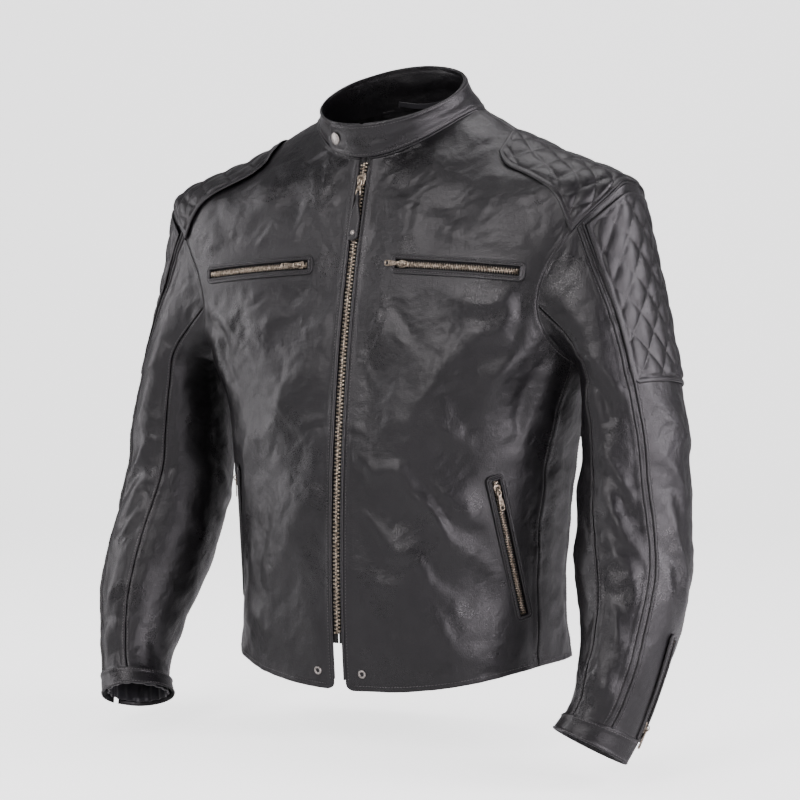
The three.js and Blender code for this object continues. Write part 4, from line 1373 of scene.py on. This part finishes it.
def build_pocket_frames(pitch):
    for side in (1, -1):
        word = "left" if side > 0 else "right"
        for kind, track in (("chest", CHEST), ("hand", HAND), ("cuff", WRIST)):
            obj, line, out = welt_mesh(f"{kind}_welt_{word}_leather", track, side)
            bm = bmesh.new()
            thread_into(bm, line, out, pitch, 0.3, 0.05)
            stitches = closed_mesh(f"{kind}_welt_{word}_stitches", bm, stuff("thread"))
            for item in (obj, stitches):
                if kind == "cuff":
                    bend_sleeve(item)
                else:
                    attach(item, "torso")
            if kind != "cuff":
                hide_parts(f"{kind}_welt_{word}")


def build_bags():
    for side in (1, -1):
        word = "left" if side > 0 else "right"
        for kind, (x0, x1), (z0, z1) in (
            ("chest", (40, 202), (-260, -140)), ("hand", (62, 186), (-538, -363))
        ):
            u, v = np.meshgrid(np.linspace(0, 1, 28), np.linspace(0, 1, 28))
            deg, level = front_angle(mix(x0, x1, u.ravel()), mix(z0, z1, v.ravel()))
            points, out = flip(body(deg, level), side), flip(normals(body, deg, level), side)
            edge = np.minimum(np.minimum(u, 1 - u), np.minimum(v, 1 - v)).ravel()
            depth = -11.5 + 2.2 * smooth(0, 0.25, edge) + 0.5 * ripple(points, 40, 21)
            bm = bmesh.new()
            grid_into(bm, points + out * depth[:, None], 28, 28, out)
            obj = finish_mesh(f"{kind}_bag_{word}_cloth", bm, stuff("lining"))
            wall = obj.modifiers.new("Wall", "SOLIDIFY")
            wall.thickness, wall.offset = 3.0 * MM, -1
            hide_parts(f"{kind}_bag_{word}")
            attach(obj, "torso")


# --- lining and small hardware -------------------------------------------------------------------


def build_lining():
    def lift(p, q, edge, points):
        near = np.minimum(np.minimum(p - 8, 352 - p) * 3.4, np.minimum(q - 0.12, NECK - 0.35 - q) * 54)
        return -3.2 - 15 * smooth(4, 60, near)

    def armholes(point):
        level_z = (body(90, ARMPIT)[0][2], body(90, TIP)[0][2])
        centre_z, half_z = sum(level_z) / 2, (level_z[1] - level_z[0]) / 2
        return abs(point[0]) > 150 and ((point[1] + 12) / 72) ** 2 + (
            (point[2] - centre_z) / (half_z + 4)
        ) ** 2 < 1

    obj = skin(
        "body_lining_satin", stuff("lining"), body,
        lambda u,
        v: (mix(8, 352, np.asarray(u, float)), mix(0.12, NECK - 0.35, v) + 0 * np.asarray(u, float)),
        220, 110, 570, lift=lift, thick=0.5, folds=0.9, hole=armholes,
    )
    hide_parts("body_lining")
    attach(obj, "torso")


def build_hardware():
    deg = np.array([-22.0])
    point, out = collar(deg, np.array([0.5]))[0], normals(collar, deg, np.array([0.5]))[0]
    cap, stud = bmesh.new(), bmesh.new()
    top = 4.75
    dome = [
        (0, 2.4), (1.6, 2.4), (1.6, top - 0.2), (6.6, top - 0.2), (7.0, top + 0.1), (7.0, top + 0.5),
        (6.6, top + 0.9)
    ]
    dome += [(5.6, top + 1.35), (4.2, top + 1.7), (2.4, top + 1.92), (0, top + 2.0)]
    lathe_into(cap, dome, point, out, 48)
    snap = closed_mesh("snap_cap_metal", cap, stuff("nickel"))
    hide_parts("snap_cap")
    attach(snap, "collar_tab")
    lathe_into(
        stud, [(0, -2.6), (1.6, -2.6), (1.6, 0.5), (4.5, 0.5), (4.5, 1.2), (2.4, 2.0), (0, 2.0)], point, out,
        32
    )
    base = closed_mesh("snap_stud_metal", stud, stuff("nickel"))
    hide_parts("snap_stud")
    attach(base, "torso")
    for side in (1, -1):
        word = "left" if side > 0 else "right"
        place = front_angle(27, -581)
        eye, way = on_skin(body, *place, side)
        bm = bmesh.new()
        profile = [
            (2.3, -2.6), (4.5, -2.6), (4.6, -2.3), (3.2, -1.9), (3.1, 0.2), (4.5, 0.3), (4.5, 0.7),
            (3.9, 1.15), (3.1, 1.25), (2.5, 0.9), (2.3, 0.3), (2.3, -2.6)
        ]
        lathe_into(bm, profile, eye[0], way[0], 36)
        ring = closed_mesh(f"hem_eyelet_{word}_metal", bm, stuff("nickel"))
        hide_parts(f"hem_eyelet_{word}")
        core = bmesh.new()
        lathe_into(core, [(0, -1.0), (2.28, -1.0), (2.28, -0.6), (0, -0.6)], eye[0], way[0], 24)
        fill = closed_mesh(f"eyelet_backing_{word}", core, stuff("tape"))
        for obj in (ring, fill):
            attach(obj, "torso")
    u = np.linspace(0, 1, 30)
    sag = 7 * np.sin(math.pi * u)
    deg, share = mix(160, 200, u), 0.12 - sag / 60
    out = normals(collar, deg, share)
    path = collar(deg, share) - out * (4.0 + 2 * np.sin(math.pi * u))[:, None]
    tangent = np.gradient(path, axis=0)
    up = np.cross(out, tangent / np.linalg.norm(tangent, axis=1)[:, None])
    bm = bmesh.new()
    sweep_into(bm, path, up, out, 3.0, 0.5, 5, 16)
    loop = closed_mesh("hanger_loop_cloth", bm, stuff("lining"))
    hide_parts("hanger_loop")
    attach(loop, "torso")


# --- stage ---------------------------------------------------------------------------------------


def aim(obj, point):
    obj.rotation_euler = (Vector(point) - obj.location).to_track_quat("-Z", "Y").to_euler()


def area_light(name, place, target, size, power, colour):
    data = bpy.data.lights.new(name, "AREA")
    data.shape, data.size, data.size_y = "RECTANGLE", size[0], size[1]
    data.energy, data.color = power, colour
    obj = bpy.data.objects.new(name, data)
    bpy.context.scene.collection.objects.link(obj)
    obj.location = place
    aim(obj, target)


# Name, place (right, ahead and up from the camera's view of the axis), size, watts and colour.
LIGHTS = (
    ("key", (-1.4, -1.9, 0.9), (0.9, 1.4), 42, (1.0, 0.95, 0.98)),
    ("front", (1.5, -1.9, -0.05), (0.9, 1.1), 40, (1.0, 0.93, 1.0)),
    ("fill", (2.0, -0.5, 0.5), (0.9, 1.5), 44, (0.99, 0.93, 1.0)),
    ("top", (0.0, 0.3, 1.9), (1.8, 1.0), 26, (1.0, 0.97, 1.0)),
    ("left_edge", (-1.9, 0.4, 0.2), (0.6, 1.6), 20, (1.0, 0.96, 1.0)),
)
AZIMUTH, ELEVATION, DISTANCE = math.radians(30), math.radians(2.5), 2.3
LENS, SENSOR = 93.24, 36
FLOOR_DROP = 0.6705
LOOK_HEIGHT, LOOK_SHIFT = -0.298, 0.0067
SWEEP_RADIUS, SWEEP_START = 1.5, 2.2


def build_stage():
    right = Vector((math.cos(AZIMUTH), math.sin(AZIMUTH), 0))
    ahead = Vector((-math.sin(AZIMUTH), math.cos(AZIMUTH), 0))
    bm = bmesh.new()
    turn = np.linspace(0, math.pi / 2, 20)[1:]
    run = np.concatenate([np.linspace(-4, SWEEP_START, 8), SWEEP_START + SWEEP_RADIUS * np.sin(turn), [3.7]])
    rise = np.concatenate([np.zeros(8), SWEEP_RADIUS - SWEEP_RADIUS * np.cos(turn), [6.0]])
    across = np.linspace(-7, 7, 4)
    points = [
        np.array(right) * a + np.array(ahead) * r + np.array([0, 0, h - FLOOR_DROP])
        for r, h in zip(run, rise)
        for a in across
    ]
    grid_into(bm, np.array(points) / MM, 4, len(run), np.tile([0, 0, 1.0], (len(points), 1)))
    s = Shader("backdrop")
    seen = s.node("ShaderNodeLightPath").out("Is Camera Ray")
    white = s.blend(s.noise(3.0), (0.78, 0.78, 0.78, 1), (0.82, 0.82, 0.82, 1))
    glow = s.blend(seen, (0.03, 0.03, 0.03, 1), (1, 1, 1, 1))
    s.done(Base_Color=white, Roughness=0.9, Emission_Color=glow, Emission_Strength=2.0)
    floor = finish_mesh("backdrop", bm, s.material)
    floor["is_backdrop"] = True
    camera_data = bpy.data.cameras.new("camera")
    camera_data.lens, camera_data.sensor_width = LENS, SENSOR
    camera = bpy.data.objects.new("camera", camera_data)
    bpy.context.scene.collection.objects.link(camera)
    target = Vector((0, 0, LOOK_HEIGHT)) - right * LOOK_SHIFT
    camera.location = target - ahead * DISTANCE * math.cos(ELEVATION)
    camera.location += Vector((0, 0, DISTANCE * math.sin(ELEVATION)))
    aim(camera, target)
    bpy.context.scene.camera = camera
    centre = (0, 0, -0.3)
    spot = lambda r, a, z: Vector((0, 0, z)) + right * r + ahead * a
    for name, (r, a, z), size, power, colour in LIGHTS:
        area_light(name, spot(r, a, z), centre, size, power, colour)
    s = Shader("studio", bpy.data.worlds, "Background")
    seen = s.node("ShaderNodeLightPath").out("Is Camera Ray")
    bpy.context.scene.world = s.done(Color=s.blend(seen, (0.05, 0.05, 0.055, 1), (2.4, 2.4, 2.4, 1)))


# --- add-on --------------------------------------------------------------------------------------


class JacketSettings(bpy.types.PropertyGroup):
    stitch_pitch: bpy.props.FloatProperty(
        name="Stitch pitch", description="Length of one stitch", default=0.0034, min=0.0015, max=0.008,
        precision=4, unit="LENGTH", subtype="DISTANCE",
    )


class JacketStep:
    bl_options = {"REGISTER", "UNDO"}

    def execute(self, context):
        self.build(context.scene.jacket)
        return {"FINISHED"}


class JACKET_OT_panels(JacketStep, bpy.types.Operator):
    """Build the leather panels of the body"""

    bl_idname = "jacket.panels"
    bl_label = "Body panels"

    def build(self, settings):
        for side in (1, -1):
            build_front(side)
            build_side(side)
        build_back()


class JACKET_OT_pads(JacketStep, bpy.types.Operator):
    """Build the quilted shoulder pads"""

    bl_idname = "jacket.pads"
    bl_label = "Shoulder pads"

    def build(self, settings):
        for side in (1, -1):
            word = "left" if side > 0 else "right"
            pad = build_quilt(f"shoulder_pad_{word}_quilted", PAD, side, 120, 64, f"shoulder_pad_{word}")
            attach(pad, "torso")


class JACKET_OT_sleeves(JacketStep, bpy.types.Operator):
    """Build the sleeves with their patches, cuffs and linings"""

    bl_idname = "jacket.sleeves"
    bl_label = "Sleeves and cuffs"

    def build(self, settings):
        for side in (1, -1):
            build_sleeve(side)
            build_cuff(side)


class JACKET_OT_collar(JacketStep, bpy.types.Operator):
    """Build the stand collar and its tab"""

    bl_idname = "jacket.collar"
    bl_label = "Collar"

    def build(self, settings):
        build_collar()


class JACKET_OT_seams(JacketStep, bpy.types.Operator):
    """Build the stitching and the piping"""

    bl_idname = "jacket.seams"
    bl_label = "Stitches and piping"

    def build(self, settings):
        build_body_seams(settings.stitch_pitch / MM)
        build_quilt_seams()
        build_sleeve_seams(settings.stitch_pitch / MM)


class JACKET_OT_zips(JacketStep, bpy.types.Operator):
    """Build the front, pocket and cuff zips with their frames and bags"""

    bl_idname = "jacket.zips"
    bl_label = "Zips and pockets"

    def build(self, settings):
        build_front_zip()
        for side in (1, -1):
            for kind, track in (("chest", CHEST), ("hand", HAND), ("cuff", WRIST)):
                build_pocket_zip(kind, track, side)
        build_pocket_frames(settings.stitch_pitch / MM)
        build_bags()


class JACKET_OT_lining(JacketStep, bpy.types.Operator):
    """Build the body lining"""

    bl_idname = "jacket.lining"
    bl_label = "Lining"

    def build(self, settings):
        build_lining()


class JACKET_OT_hardware(JacketStep, bpy.types.Operator):
    """Build the snap, the eyelets and the hanger loop"""

    bl_idname = "jacket.hardware"
    bl_label = "Snap, eyelets and hanger"

    def build(self, settings):
        build_hardware()


class JACKET_OT_stage(JacketStep, bpy.types.Operator):
    """Set up the backdrop, the lights and the camera"""

    bl_idname = "jacket.stage"
    bl_label = "Stage"

    def build(self, settings):
        build_stage()


class JACKET_PT_sidebar(bpy.types.Panel):
    bl_idname = "JACKET_PT_sidebar"
    bl_label = "Jacket"
    bl_space_type = "VIEW_3D"
    bl_region_type = "UI"
    bl_category = "Jacket"

    def draw(self, context):
        self.layout.prop(context.scene.jacket, "stitch_pitch")
        for step in STEPS:
            self.layout.operator(step.bl_idname)


STEPS = (
    JACKET_OT_panels, JACKET_OT_pads, JACKET_OT_sleeves, JACKET_OT_collar, JACKET_OT_zips, JACKET_OT_seams,
    JACKET_OT_lining, JACKET_OT_hardware, JACKET_OT_stage,
)
CLASSES = (JacketSettings, *STEPS, JACKET_PT_sidebar)


def register():
    for item in CLASSES:
        bpy.utils.register_class(item)
    bpy.types.Scene.jacket = bpy.props.PointerProperty(type=JacketSettings)


def unregister():
    del bpy.types.Scene.jacket
    for item in reversed(CLASSES):
        bpy.utils.unregister_class(item)


def main():
    register()
    for step in STEPS:
        group, name = step.bl_idname.split(".")
        getattr(getattr(bpy.ops, group), name)()
    plain = lambda bounds: [[float(x) for x in corner] for corner in bounds]
    {"cad": plain(START_BOUNDS), "visual": plain(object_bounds())}


if __name__ == "__main__":
    main()
